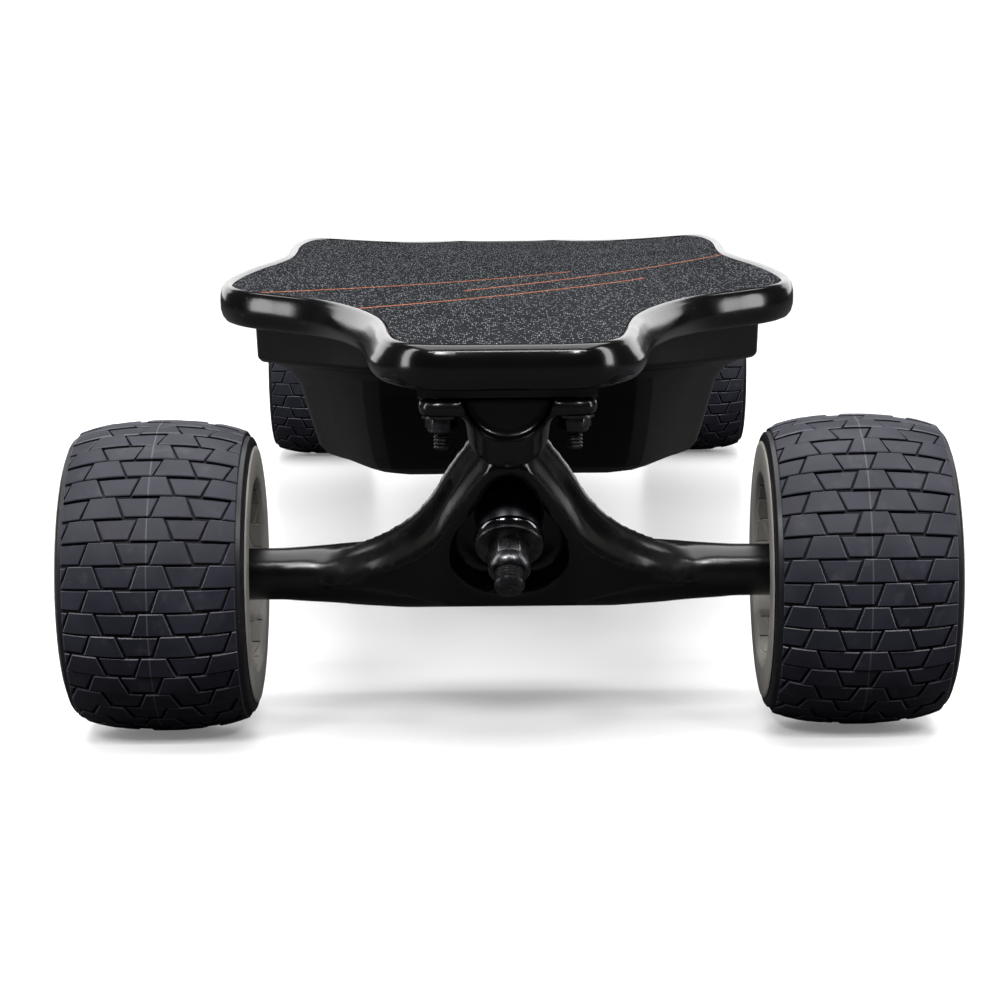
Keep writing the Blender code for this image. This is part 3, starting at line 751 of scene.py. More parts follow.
def fused(shape: Shape, voxel: float, passes: int) -> Shape:
    """Melt overlapping shells into one casting with soft inner corners.

    Args:
        shape: Overlapping closed shells.
        voxel: Grid size in metres.
        passes: Smoothing passes.

    Returns:
        The casting.
    """

    def setup(holder: bpy.types.Object) -> None:
        """Add the remesh."""
        step = holder.modifiers.new("fuse", "REMESH")
        step.mode = "VOXEL"
        step.voxel_size = voxel

    result = through(shape, setup)
    for _ in range(passes):
        bmesh.ops.smooth_vert(result, verts=result.verts, factor=0.5,
                              use_axis_x=True, use_axis_y=True, use_axis_z=True)
    return result


def publish(
    name: str,
    shape: Shape,
    finishes: Finish | Sequence[Finish],
    body: str,
    replaced: Iterable[str] = (),
    sharp: float = 0.6,
) -> bpy.types.Object:
    """Turn a finished shape into a piece of the board.

    Args:
        name: The piece's name.
        shape: Its shape, in the row frame.
        finishes: One finish, or one for each material index.
        body: The body it rides on.
        replaced: CAD nodes it stands for.
        sharp: Edges that turn more than this stay crisp.

    Returns:
        The object.
    """
    tidy(shape)
    mesh = bpy.data.meshes.new(name)
    shape.to_mesh(mesh)
    shape.free()
    for finish in [finishes] if isinstance(finishes, Finish) else finishes:
        mesh.materials.append(finish.material())
    mesh.shade_smooth()
    mesh.set_sharp_from_angle(angle=sharp)
    piece = bpy.data.objects.new(name, mesh)
    bpy.context.scene.collection.objects.link(piece)
    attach(piece, body)
    if replaced:
        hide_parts(*replaced)
    LOG.info("%s: %d faces on %s", name, len(mesh.polygons), body)
    return piece


def repaint(node: str, finish: Finish) -> None:
    """Give a CAD node that keeps its shape a finish.

    Args:
        node: The CAD node.
        finish: Its finish.
    """
    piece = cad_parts[node]
    mesh = piece.data
    for index in range(max(1, len(mesh.materials))):
        if index < len(piece.material_slots):
            piece.material_slots[index].material = finish.material()
        else:
            mesh.materials.append(finish.material())
    LOG.info("%s: CAD shape in %s", node, finish.name)


def thread(start: float, end: float, radius: float, pitch: float = 0.0009,
           depth: float = 0.00035) -> list[tuple[float, float]]:
    """Profile points of a thread between two axial stations.

    Args:
        start: First station.
        end: Last station.
        radius: Radius of the crests.
        pitch: Distance between crests.
        depth: Depth of the roots.

    Returns:
        (axial, radius) points.
    """
    points = []
    count = max(2, int(abs(end - start) / pitch))
    step = (end - start) / count
    for index in range(count):
        points.append((start + index * step, radius - depth))
        points.append((start + (index + 0.5) * step, radius))
    return points


def flowing(points: Profile, steps: int) -> list[tuple[float, float]]:
    """A smooth open curve through plan points.

    Args:
        points: The points it passes through.
        steps: Short lines between two points.

    Returns:
        The curve's points.
    """
    line = [Vector(point) for point in points]
    fine = []
    for i in range(len(line) - 1):
        before, after = line[max(i - 1, 0)], line[min(i + 2, len(line) - 1)]
        for k in range(steps):
            t = k / steps
            point = 0.5 * (
                2.0 * line[i]
                + (line[i + 1] - before) * t
                + (2.0 * before - 5.0 * line[i] + 4.0 * line[i + 1] - after) * t * t
                + (3.0 * line[i] - before - 3.0 * line[i + 1] + after) * t ** 3
            )
            fine.append((point.x, point.y))
    fine.append(tuple(line[-1]))
    return fine


def ramp(value: float, low: float, high: float) -> float:
    """Smooth step from 0 to 1.

    Args:
        value: What is tested.
        low: Where the step starts.
        high: Where it ends.

    Returns:
        The share, from 0 to 1.
    """
    share = min(1.0, max(0.0, (value - low) / (high - low)))
    return share * share * (3.0 - 2.0 * share)


def both_halves(points: Profile) -> list[tuple[float, float]]:
    """Close a right-hand half outline across x = 0."""
    return list(points) + [(-x, y) for x, y in reversed(points) if x > 0.0]


# ---------------------------------------------------------------- deck
@dataclass
class Deck:
    """Deck core, grip sheet and the bumper round its edge."""

    height: float = 0.1355
    camber: float = 0.018
    pitch: float = 0.006
    concave: float = 0.0054
    flare: float = 0.0050
    tail_drop: float = 0.045
    neck_bulge: float = 0.0026
    neck_rise: float = 0.08
    concave_half: float = 0.113
    thickness: float = 0.011
    core_margin: float = 0.0039
    grip_margin: float = 0.0054
    grip_low: float = 0.0002
    grip_high: float = 0.0011
    steps: int = 5
    columns: int = 14
    half_outline: Profile = (
        (0.4750, 0.0150), (0.4735, 0.0235), (0.4690, 0.0310), (0.4610, 0.0365),
        (0.4480, 0.0402), (0.4220, 0.0432), (0.3920, 0.0456), (0.3650, 0.0490),
        (0.3350, 0.0555), (0.3080, 0.0642), (0.2890, 0.0740), (0.2755, 0.0880),
        (0.2640, 0.1010), (0.2510, 0.1085), (0.2330, 0.1125), (0.2050, 0.1143),
        (0.1600, 0.1143), (0.1100, 0.1125), (0.0550, 0.1095), (0.0000, 0.1080),
    )
    bumper_section: Profile = (
        (0.0050, 0.0006), (0.0044, 0.0016), (0.0030, 0.0018), (0.0016, 0.0010),
        (0.0006, -0.0006), (0.0001, -0.0028), (0.0000, -0.0052), (0.0001, -0.0080),
        (0.0008, -0.0104), (0.0020, -0.0119), (0.0036, -0.0124), (0.0050, -0.0118),
    )

    def top(self, x: float, y: float) -> float:
        """Height of the deck's top face."""
        spine = self.height - self.camber * y * y - self.pitch * y
        spine -= self.tail_drop * max(0.0, y - 0.27) ** 2
        return spine + (self.concave + self.flare * y) * (x / self.concave_half) ** 2

    def edge(self) -> list[Vector]:
        """Right-hand edge from nose to tail."""
        front = [(width, -length) for length, width in self.half_outline]
        back = [(width, length) for length, width in reversed(self.half_outline[:-1])]
        return [Vector(point) for point in flowing(front + back, self.steps)]

    def rail(self, inset: float) -> list[Vector]:
        """The right-hand edge moved inward along its normals.

        Args:
            inset: How far, in metres.

        Returns:
            The moved points, from nose to tail.
        """
        line = self.edge()
        moved_in = []
        for i, point in enumerate(line):
            before = line[i - 1] if i else Vector((-line[0].x, line[0].y))
            after = line[i + 1] if i + 1 < len(line) else Vector((-line[-1].x, line[-1].y))
            along = ((point - before).normalized() + (after - point).normalized()).normalized()
            moved_in.append(point + Vector((-along.y, along.x)) * inset)
        return moved_in

    def neck(self, y: float) -> float:
        """1 along the narrow necks, 0 at the tips and along the wide middle."""
        return ramp(abs(y), 0.27, 0.34) * (1.0 - ramp(abs(y), 0.44, 0.472))

    def loop(self, inset: float, lift: float) -> list[Point]:
        """A closed ring round the deck. Low rings swell at the necks.

        Args:
            inset: Distance in from the edge.
            lift: Height above the deck's top face.

        Returns:
            The ring's points.
        """
        full = ramp(-lift, 0.001, 0.007)
        right = []
        for point, wide in zip(self.rail(inset), self.rail(inset - self.neck_bulge * full)):
            share = self.neck(point.y)
            spot = point.lerp(wide, share)
            drop = lift * (1.0 - self.neck_rise * share)
            right.append((spot.x, spot.y, self.top(spot.x, spot.y) + drop))
        left = [(-x, y, z) for x, y, z in reversed(right)]
        return right + left

    def bumper(self) -> Shape:
        """Sweep the bumper section round the edge, ring by ring."""
        shape = bmesh.new()
        start = [shape.verts.new(point) for point in self.loop(*self.bumper_section[0])]
        edges = [shape.edges.new(pair) for pair in zip(start, start[1:] + start[:1])]
        current, first = edges, edges
        for inset, lift in self.bumper_section[1:]:
            start, current = next_row(shape, start, current, self.loop(inset, lift))
        bmesh.ops.bridge_loops(shape, edges=current + first)
        return shape

    def sheet(self, inset: float, low: float, high: float) -> Shape:
        """A plate that follows the deck.

        Args:
            inset: Distance in from the edge.
            low: Lift of its under face from the deck's top.
            high: Lift of its upper face.

        Returns:
            The plate.
        """
        shape = bmesh.new()
        rail = self.rail(inset)
        first = self.row(rail[0])
        row = [shape.verts.new(point) for point in first]
        edges = [shape.edges.new(pair) for pair in zip(row, row[1:])]
        for station in rail[1:]:
            row, edges = next_row(shape, row, edges, self.row(station))
        bmesh.ops.translate(shape, verts=shape.verts, vec=(0.0, 0.0, low))
        grown = bmesh.ops.extrude_face_region(shape, geom=shape.faces[:])["geom"]
        bmesh.ops.translate(shape, vec=(0.0, 0.0, high - low),
                            verts=[v for v in grown if isinstance(v, bmesh.types.BMVert)])
        bmesh.ops.recalc_face_normals(shape, faces=shape.faces)
        return shape

    def row(self, station: Vector) -> list[Point]:
        """Points across the deck's top at one station."""
        spots = [station.x * (2.0 * k / self.columns - 1.0) for k in range(self.columns + 1)]
        return [(x, station.y, self.top(x, station.y)) for x in spots]

    def build(self) -> None:
        """Make and dress the deck."""
        publish("deck_core", self.sheet(self.core_margin, -self.thickness, 0.0), DECK_WOOD,
                Body.BOARD.value, ["deck"])
        publish("grip_sheet", self.sheet(self.grip_margin, self.grip_low, self.grip_high), GRIP,
                Body.BOARD.value, ["grip_tape"])
        publish("bumper_strip", self.bumper(), BUMPER_RUBBER, Body.BOARD.value,
                ["edge_bumper"], sharp=1.2)


# ---------------------------------------------------------------- enclosure
@dataclass
class Enclosure:
    """Tray under the deck, its controls and what it holds."""

    deck: Deck
    port_y: float = 0.120
    key_y: float = 0.165
    control_z: float = 0.0875
    rib_count: int = 9
    rib_pitch: float = 0.010
    rib_half: float = 0.0013
    rib_span: tuple[float, float] = (0.066, 0.158)
    rib_levels: tuple[float, float] = (0.0617, 0.0632)
    screw_count: int = 6
    screw_pitch: float = 0.07
    screw_place: tuple[float, float, float] = (0.0975, -0.175, 0.1074)
    levels: Sequence[Point] = (
        (0.1045, 0.2565, 0.0000), (0.1045, 0.2565, -0.0030), (0.1030, 0.2550, -0.0036),
        (0.1024, 0.2544, 0.1098), (0.1012, 0.2530, 0.1084), (0.0960, 0.2480, 0.1070),
        (0.0908, 0.2430, 0.1038), (0.0866, 0.2385, 0.0975), (0.0832, 0.2345, 0.0840),
        (0.0795, 0.2300, 0.0709), (0.0768, 0.2270, 0.0672), (0.0724, 0.2215, 0.0648),
        (0.0650, 0.2130, 0.0632), (0.0578, 0.2050, 0.0628), (0.0520, 0.1990, 0.0625),
    )

    def loop(self, half_width: float, half_length: float, height: float) -> list[Point]:
        """One level of the tray: a long box with cut, rounded corners.

        Args:
            half_width: Half its width.
            half_length: Half its length.
            height: Its height, or a lift from the deck's under face if not above zero.

        Returns:
            The level's points.
        """
        face = min(0.047, half_width * 0.55)
        quarter = flowing((
            (half_width, half_length - 0.066),
            (half_width - 0.0012, half_length - 0.056),
            (half_width - 0.0060, half_length - 0.046),
            (face + 0.0100, half_length - 0.0042),
            (face - 0.0060, half_length),
        ), 3)
        quarter = [(half_width, 0.0), *quarter, (0.0, half_length)]
        plan = quarter + [(-x, y) for x, y in reversed(quarter[:-1])]
        plan += [(-x, -y) for x, y in quarter[1:]] + [(x, -y) for x, y in reversed(quarter[1:-1])]
        if height > 0.0:
            return [(x, y, height) for x, y in plan]
        under = self.deck.thickness + 0.0003 - height
        return [(x, y, self.deck.top(x, y) - under) for x, y in plan]

    def shell(self) -> Shape:
        """Grow the tray level by level and close its floor."""
        shape = bmesh.new()
        start = [shape.verts.new(point) for point in self.loop(*self.levels[0])]
        current = [shape.edges.new(pair) for pair in zip(start, start[1:] + start[:1])]
        for level in self.levels[1:]:
            start, current = next_row(shape, start, current, self.loop(*level))
        bmesh.ops.contextual_create(shape, geom=current)
        bmesh.ops.recalc_face_normals(shape, faces=shape.faces)
        soften(shape, 0.0011, 3, 0.30)
        rim = [edge for edge in shape.edges if len(edge.link_faces) == 1]
        bmesh.ops.contextual_create(shape, geom=rim)
        bmesh.ops.recalc_face_normals(shape, faces=shape.faces)
        return shape

    def side(self, y: float) -> Seat:
        """Seat on the tray's side, with local X pointing out."""
        return Seat((0.0, y, self.control_z), (-1.0, 0.0, 0.0), (0.0, 1.0, 0.0), (0.0, 0.0, 1.0))

    def ribs(self) -> Shape:
        """Low cooling ribs under the controller."""
        bars = []
        (start, end), (low, high), half = self.rib_span, self.rib_levels, self.rib_half
        for index in range(self.rib_count):
            x = -0.040 + self.rib_pitch * index
            bar = plate(((x - half, start), (x + half, start), (x + half, end),
                         (x - half, end)), low, high, Seat((0.0, 0.0, 0.0)))
            bars.append(soften(bar, 0.0006, 2))
        return joined(*bars)

    def build(self) -> None:
        """Make and dress the tray, its contents and its controls."""
        board = Body.BOARD.value
        holes = joined(
            rod(((0.060, 0.0093), (0.110, 0.0093)), self.side(self.port_y), 48),
            rod(((0.060, 0.0079), (0.110, 0.0079)), self.side(self.key_y), 48),
        )
        publish("tray_shell", carved(self.shell(), holes), TRAY_PLASTIC, board,
                ["enclosure_tray"], sharp=0.45)
        publish("tray_cooling_ribs", self.ribs(), TRAY_PLASTIC, board)
        screws = []
        for sign_x in (-1.0, 1.0):
            for index in range(self.screw_count):
                x, y, z = self.screw_place
                spot = Seat((sign_x * x, y + self.screw_pitch * index, z), (0.0, 0.0, -1.0),
                            (1.0, 0.0, 0.0), (0.0, -1.0, 0.0))
                screws.append(screw_head(spot, 0.0022, 0.0012))
        publish("tray_screws", joined(*screws), BLACK_STEEL, board)
        port = turned((
            (0.0700, 0.0078), (0.0712, 0.0090), (0.0866, 0.0090), (0.0874, 0.0083),
            (0.0874, 0.0052), (0.0870, 0.0048), (0.0790, 0.0048), (0.0790, 0.0016),
            (0.0850, 0.0014), (0.0856, 0.0008), (0.0856, 0.0), (0.0700, 0.0),
        ), self.side(self.port_y), 48, closed=False)
        publish("charge_socket", port, TRAY_PLASTIC, board, ["charge_port"])
        seat = self.side(self.port_y)
        disc = rod(((0.0878, 0.0078), (0.0880, 0.0086), (0.0894, 0.0086), (0.0900, 0.0080),
                    (0.0902, 0.0072), (0.0899, 0.0058)), seat, 48)
        lug = plate(((-0.0035, 0.0060), (0.0035, 0.0060), (0.0035, 0.0104), (0.0022, 0.0110),
                     (-0.0022, 0.0110), (-0.0035, 0.0104)), 0.0880, 0.0896,
                    Seat(seat.origin, seat.y, seat.z, seat.x))
        publish("charge_cap_cover", joined(disc, soften(lug, 0.0004)), SOFT_KEY, Body.CAP.value,
                ["charge_port_cap"])
        key = rod(((0.0760, 0.0068), (0.0768, 0.0075), (0.0866, 0.0075), (0.0874, 0.0069),
                   (0.0877, 0.0060), (0.0874, 0.0042), (0.0872, 0.0020)), self.side(self.key_y))
        publish("power_key_cap", key, BLACK_STEEL, Body.KEY.value,
                ["power_button"])
        repaint("battery_pack", PACK_WRAP)
        repaint("motor_controller", CASE_METAL)


def screw_head(seat: Seat, radius: float, height: float) -> Shape:
    """A domed head with a six-sided socket, along the seat's local X.

    Args:
        seat: The middle of the face that it sits on.
        radius: Radius of the head.
        height: Height of the dome.

    Returns:
        The head.
    """
    dome = rod(((-0.0005, radius * 0.98), (height * 0.35, radius), (height * 0.8, radius * 0.82),
                (height, radius * 0.6)), Seat((0.0, 0.0, 0.0)), 24)
    socket = hexagon(radius * 0.44, height * 0.35, height + 0.001, Seat((0.0, 0.0, 0.0)), 0.00002)
    return moved(carved(dome, socket), seat)


# ---------------------------------------------------------------- trucks
@dataclass
class BoltPattern:
    """Where the eight truck bolts go through the deck."""

    half_base: float = 0.39
    spacing: float = 0.0413
    outboard: tuple[float, float] = (0.0700, 0.0161)

    def spots(self) -> list[tuple[End, int, float, float]]:
        """End, number, x and y of every bolt."""
        found = []
        for end in End:
            number = 1
            for outboard in self.outboard:
                for side in (-1.0, 1.0):
                    y = end.value * (self.half_base + outboard)
                    found.append((end, number, side * self.spacing / 2.0, y))
                    number += 1
        return found


@dataclass
class Truck:
    """One truck: hanger, baseplate, kingpin set, riser and bolts."""

    end: End
    deck: Deck
    bolts: BoltPattern
    drop: float = 0.0
    ring_outboard: float = 0.0362
    ring_height: float = 0.0785
    axle_y: float = 0.39
    axle_z: float = 0.0525
    tilt: float = math.radians(48.0)
    tube_reach: float = 0.1022
    flange_top: float = 0.1188
    flange_thickness: float = 0.0053
    voxel: float = 0.00136
    fine_voxel: float = 0.00096
    outline: Profile = (
        (0.0000, 0.0306), (0.0086, 0.0306), (0.0104, 0.0280), (0.0125, 0.0240),
        (0.0165, 0.0165), (0.0214, 0.0062), (0.0262, -0.0050), (0.0335, -0.0160),
        (0.0430, -0.0247), (0.0530, -0.0302), (0.0610, -0.0334), (0.0690, -0.0356),
    )
    foot: Profile = ((0.0670, -0.0362), (0.0520, -0.0376), (0.0380, -0.0388),
                     (0.0200, -0.0396), (0.0, -0.0398))
    pocket: Profile = (
        (0.0000, 0.0268), (0.0036, 0.0250), (0.0060, 0.0205), (0.0112, 0.0090),
        (0.0165, -0.0015), (0.0186, -0.0090), (0.0186, -0.0185), (0.0150, -0.0265),
        (0.0090, -0.0315), (0.0000, -0.0330),
    )

    @property
    def tilted(self) -> Seat:
        """Local X across, Y up the steering axis, Z out along the kingpin."""
        sign, cos_t, sin_t = self.end.value, math.cos(self.tilt), math.sin(self.tilt)
        origin = (0.0, sign * (self.axle_y + self.ring_outboard), self.ring_height - self.drop)
        return Seat(origin, (-sign, 0.0, 0.0), (0.0, sign * cos_t, sin_t),
                    (0.0, sign * sin_t, -cos_t))

    @property
    def level(self) -> Seat:
        """Local X across, Y outboard from the axle, Z up."""
        sign = self.end.value
        return Seat((0.0, sign * self.axle_y, 0.0), (-sign, 0.0, 0.0), (0.0, sign, 0.0),
                    (0.0, 0.0, 1.0))

    @property
    def axle(self) -> Seat:
        """Local X along the axle, at wheel height."""
        return Seat((0.0, self.end.value * self.axle_y, self.axle_z))

    def inset(self, points: Profile, amount: float) -> list[tuple[float, float]]:
        """Draw the leg outline in toward the middle."""
        return [(max(0.0, x - amount), y - amount * 0.3) for x, y in points]

    def hanger(self) -> Shape:
        """Fuse the legs, axle tubes and nose of the hanger."""
        legs = flowing(self.outline[1:], 4)
        full = both_halves([self.outline[0], *legs, *self.foot])
        narrow = both_halves([
            (0.0, 0.0306), *self.inset(legs, 0.0024), *self.foot[1:]])
        seat = self.tilted
        pocket = both_halves(flowing(self.pocket, 4))
        face = plate(narrow, -0.0030, 0.0089, Seat((0.0, 0.0, 0.0)))
        for side in (-1.0, 1.0):
            slope = Vector((side * 0.0099, 0.0, 0.0360))
            bmesh.ops.bisect_plane(face, geom=face.verts[:] + face.edges[:] + face.faces[:],
                                   dist=1e-7, plane_co=(side * 0.022, 0.0, 0.0089),
                                   plane_no=slope, clear_outer=True)
            rim = [edge for edge in face.edges if len(edge.link_faces) == 1]
            bmesh.ops.contextual_create(face, geom=rim)
        bmesh.ops.recalc_face_normals(face, faces=face.faces)
        front = carved(moved(face, seat), plate(pocket, -0.0010, 0.0300, seat))
        back = plate(full, -0.0120, -0.0046, seat)
        web = plate(both_halves([(0.0, 0.0300), *self.inset(legs, 0.0062), *self.foot[1:]]),
                    -0.0060, 0.0030, seat)
        web = carved(web, plate(pocket, -0.0010, 0.0300, seat))
        reach = self.tube_reach
        tubes = rod((
            (-reach, 0.0080), (-reach + 0.0012, 0.0089), (-0.0760, 0.0089), (-0.0600, 0.0100),
            (-0.0480, 0.0110), (-0.0360, 0.0118), (0.0360, 0.0118), (0.0480, 0.0110),
            (0.0600, 0.0100), (0.0760, 0.0089), (reach - 0.0012, 0.0089), (reach, 0.0080),
        ), self.axle, 64)
        nose = rod(((0.0262, 0.0062), (0.0318, 0.0062), (0.0329, 0.0047), (0.0410, 0.0047),
                    (0.0420, 0.0036)), seat.turned_about("y"), 40)
        bore = rod(((-0.03, 0.0087), (0.03, 0.0087)), seat.turned_about("z"), 48)
        body = fused(joined(front, back, web, tubes, nose), self.voxel, 0)
        body = carved(body, bore)
        return fused(body, self.voxel, 3)

    def baseplate(self) -> Shape:
        """Fuse the flange, wedge and pivot boss, then cut the scoop and the seats."""
        top = self.flange_top - self.drop
        low = top - self.flange_thickness
        half, inner, outer, corner = 0.0278, -0.0125, 0.0785, 0.006
        flange = plate(both_halves(flowing((
            (0.0, outer), (half - corner, outer), (half - corner * 0.3, outer - corner * 0.3),
            (half, outer - corner), (half, inner + corner), (half - corner, inner),
            (0.0, inner),
        ), 1)), low, top, self.level)
        seat = self.level
        side_seat = Seat((0.0, seat.origin[1], -self.drop), seat.y, (0.0, 0.0, 1.0), seat.x)
        wedge = plate(((0.0274, 0.1039), (0.0100, 0.0845), (-0.0035, 0.0965), (-0.0105, 0.1056),
                       (-0.0105, 0.1160), (0.0340, 0.1160)), -0.0132, 0.0132, side_seat)
        boss = rod(((0.0328, 0.0104), (0.0344, 0.0120), (0.0380, 0.0130), (0.0640, 0.0140)),
                   self.tilted.turned_about("y"), 64)
        body = fused(joined(flange, wedge, boss), self.voxel, 0)
        lid = plate(((-0.1, -0.2), (0.1, -0.2), (0.1, 0.2), (-0.1, 0.2)), top, top + 0.05, seat)
        scoop = rod(((0.0690, 0.0138), (0.1200, 0.0138)),
                    Seat((0.0, seat.origin[1], top + 0.0008), seat.y, seat.x, seat.z), 64)
        socket = rod(((0.0200, 0.0072), (0.0428, 0.0072)), self.tilted.turned_about("y"), 40)
        kingpin = self.tilted.turned_about("z")
        head = rod(((-0.0435, 0.0100), (-0.0900, 0.0100)), kingpin, 40)
        pin = rod(((-0.0600, 0.0053), (-0.0100, 0.0053)), kingpin, 32)
        for cutter in (socket, head, pin):
            body = carved(body, cutter)
        body = fused(body, self.voxel, 3)
        holes = joined(*[
            rod(((0.09, 0.0028), (0.15, 0.0028)), Seat((x, y, 0.0)).turned_about("z"), 24)
            for end, _, x, y in self.bolts.spots() if end is self.end
        ])
        body = fused(carved(carved(body, lid), scoop), self.fine_voxel, 1)
        return carved(body, holes)

    def kingpin_set(self) -> None:
        """Kingpin, nut, cup washer, bushings and pivot cup."""
        tag, board = self.end.tag, Body.BOARD.value
        seat = self.tilted.turned_about("z")
        pin = rod((
            (-0.0490, 0.0074), (-0.0482, 0.0080), (-0.0438, 0.0080), (-0.0438, 0.0048),
            *thread(0.0150, 0.0314, 0.0049, 0.0011, 0.0005), (0.0319, 0.0043),
            (0.0325, 0.0035), (0.0325, 0.0012), (0.0321, 0.0006),
        ), seat, 40)
        publish(tag + "_kingpin_bolt", pin, BLACK_STEEL, board, [tag + "_kingpin"])
        collar = turned((
            (0.0216, 0.0048), (0.0216, 0.0069), (0.0232, 0.0070), (0.0250, 0.0067),
            (0.0258, 0.0060), (0.0258, 0.0048),
        ), seat, 48)
        flange = turned(((0.0145, 0.0050), (0.0145, 0.0107), (0.0149, 0.0110), (0.0154, 0.0107),
                         (0.0156, 0.0050)), seat, 48)
        nut = joined(hexagon(0.0069, 0.0152, 0.0218, seat, 0.0005), collar, flange)
        publish(tag + "_kingpin_lock_nut", nut, BLACK_STEEL, board,
                [tag + "_kingpin_nut"])
        washer = turned((
            (0.0121, 0.0051), (0.0121, 0.0092), (0.0107, 0.0103), (0.0108, 0.0109),
            (0.0118, 0.0112), (0.0132, 0.0107), (0.0143, 0.0092), (0.0144, 0.0051),
        ), seat, 64)
        publish(tag + "_cup_washer_ring", soften(washer, 0.0003), CUP_STEEL, board,
                [tag + "_cup_washer"], sharp=0.9)
        for name, low, high, start, finish in (
            ("_boardside_bushing", -0.0234, -0.0123, 0.0122, 0.0116),
            ("_roadside_bushing", -0.0007, 0.0118, 0.0114, 0.0098),
        ):
            length = high - low
            ring = turned((
                (low, 0.0051), (low, start - 0.0012), (low + 0.0006, start - 0.0003),
                (low + 0.0018, start), (low + length * 0.5, (start + finish) / 2.0 + 0.0002),
                (high - 0.0016, finish), (high - 0.0004, finish - 0.0006),
                (high, finish - 0.0016), (high, 0.0051),
            ), seat, 64)
            publish(tag + name + "_ring", ring, URETHANE, board, [tag + name],
                    sharp=0.9)
        cup = turned(((0.0335, 0.0051), (0.0335, 0.0070), (0.0425, 0.0070), (0.0425, 0.0051)),
                     self.tilted.turned_about("y"), 48)
        publish(tag + "_pivot_cup_ring", cup, PAD_RUBBER, board,
                [tag + "_pivot_cup"])

    def bolt_set(self) -> None:
        """The four bolts, their heads under the grip sheet, and their lock nuts."""
        tag, board = self.end.tag, Body.BOARD.value
        low = self.flange_top - self.drop - self.flange_thickness
        for end, number, x, y in self.bolts.spots():
            if end is not self.end:
                continue
            top = self.deck.top(x, y) - 0.0026
            upright = Seat((x, y, 0.0)).turned_about("z")
            shank = rod(((low - 0.0109, 0.0016), *thread(low - 0.0106, low + 0.0002, 0.0025, 0.0010,
                                                             0.0005), (top, 0.0024)),
                        upright, 20)
            head = screw_head(Seat((x, y, top)).turned_about("z"), 0.0046, 0.0022)
            publish("{}_bolt_{}".format(tag, number), joined(shank, head), BLACK_STEEL, board,
                    ["{}_truck_bolt_{}".format(tag, number)])
            collar = turned(((low - 0.0054, 0.0026), (low - 0.0054, 0.0036),
                             (low - 0.0049, 0.0042), (low - 0.0039, 0.0043),
                             (low - 0.0039, 0.0026)), upright, 24)
            washer = turned(((low - 0.0009, 0.0026), (low - 0.0009, 0.0060),
                             (low - 0.0001, 0.0060), (low - 0.0001, 0.0026)), upright, 32)
            nut = joined(hexagon(0.0051, low - 0.0040, low - 0.0009, upright, 0.0003), collar,
                         washer)
            publish("{}_lock_nut_{}".format(tag, number), nut, BLACK_STEEL, board,
                    ["{}_truck_nut_{}".format(tag, number)])

    def build(self) -> None:
        """Make and dress the truck."""
        tag = self.end.tag
        publish(tag + "_hanger_casting", self.hanger(), CAST_PAINT, self.end.truck,
                [tag + "_hanger"], sharp=1.4)
        publish(tag + "_baseplate_casting", self.baseplate(), CAST_PAINT, Body.BOARD.value,
                [tag + "_baseplate"], sharp=0.9)
        repaint(tag + "_riser_pad", PAD_RUBBER)
        self.kingpin_set()
        self.bolt_set()


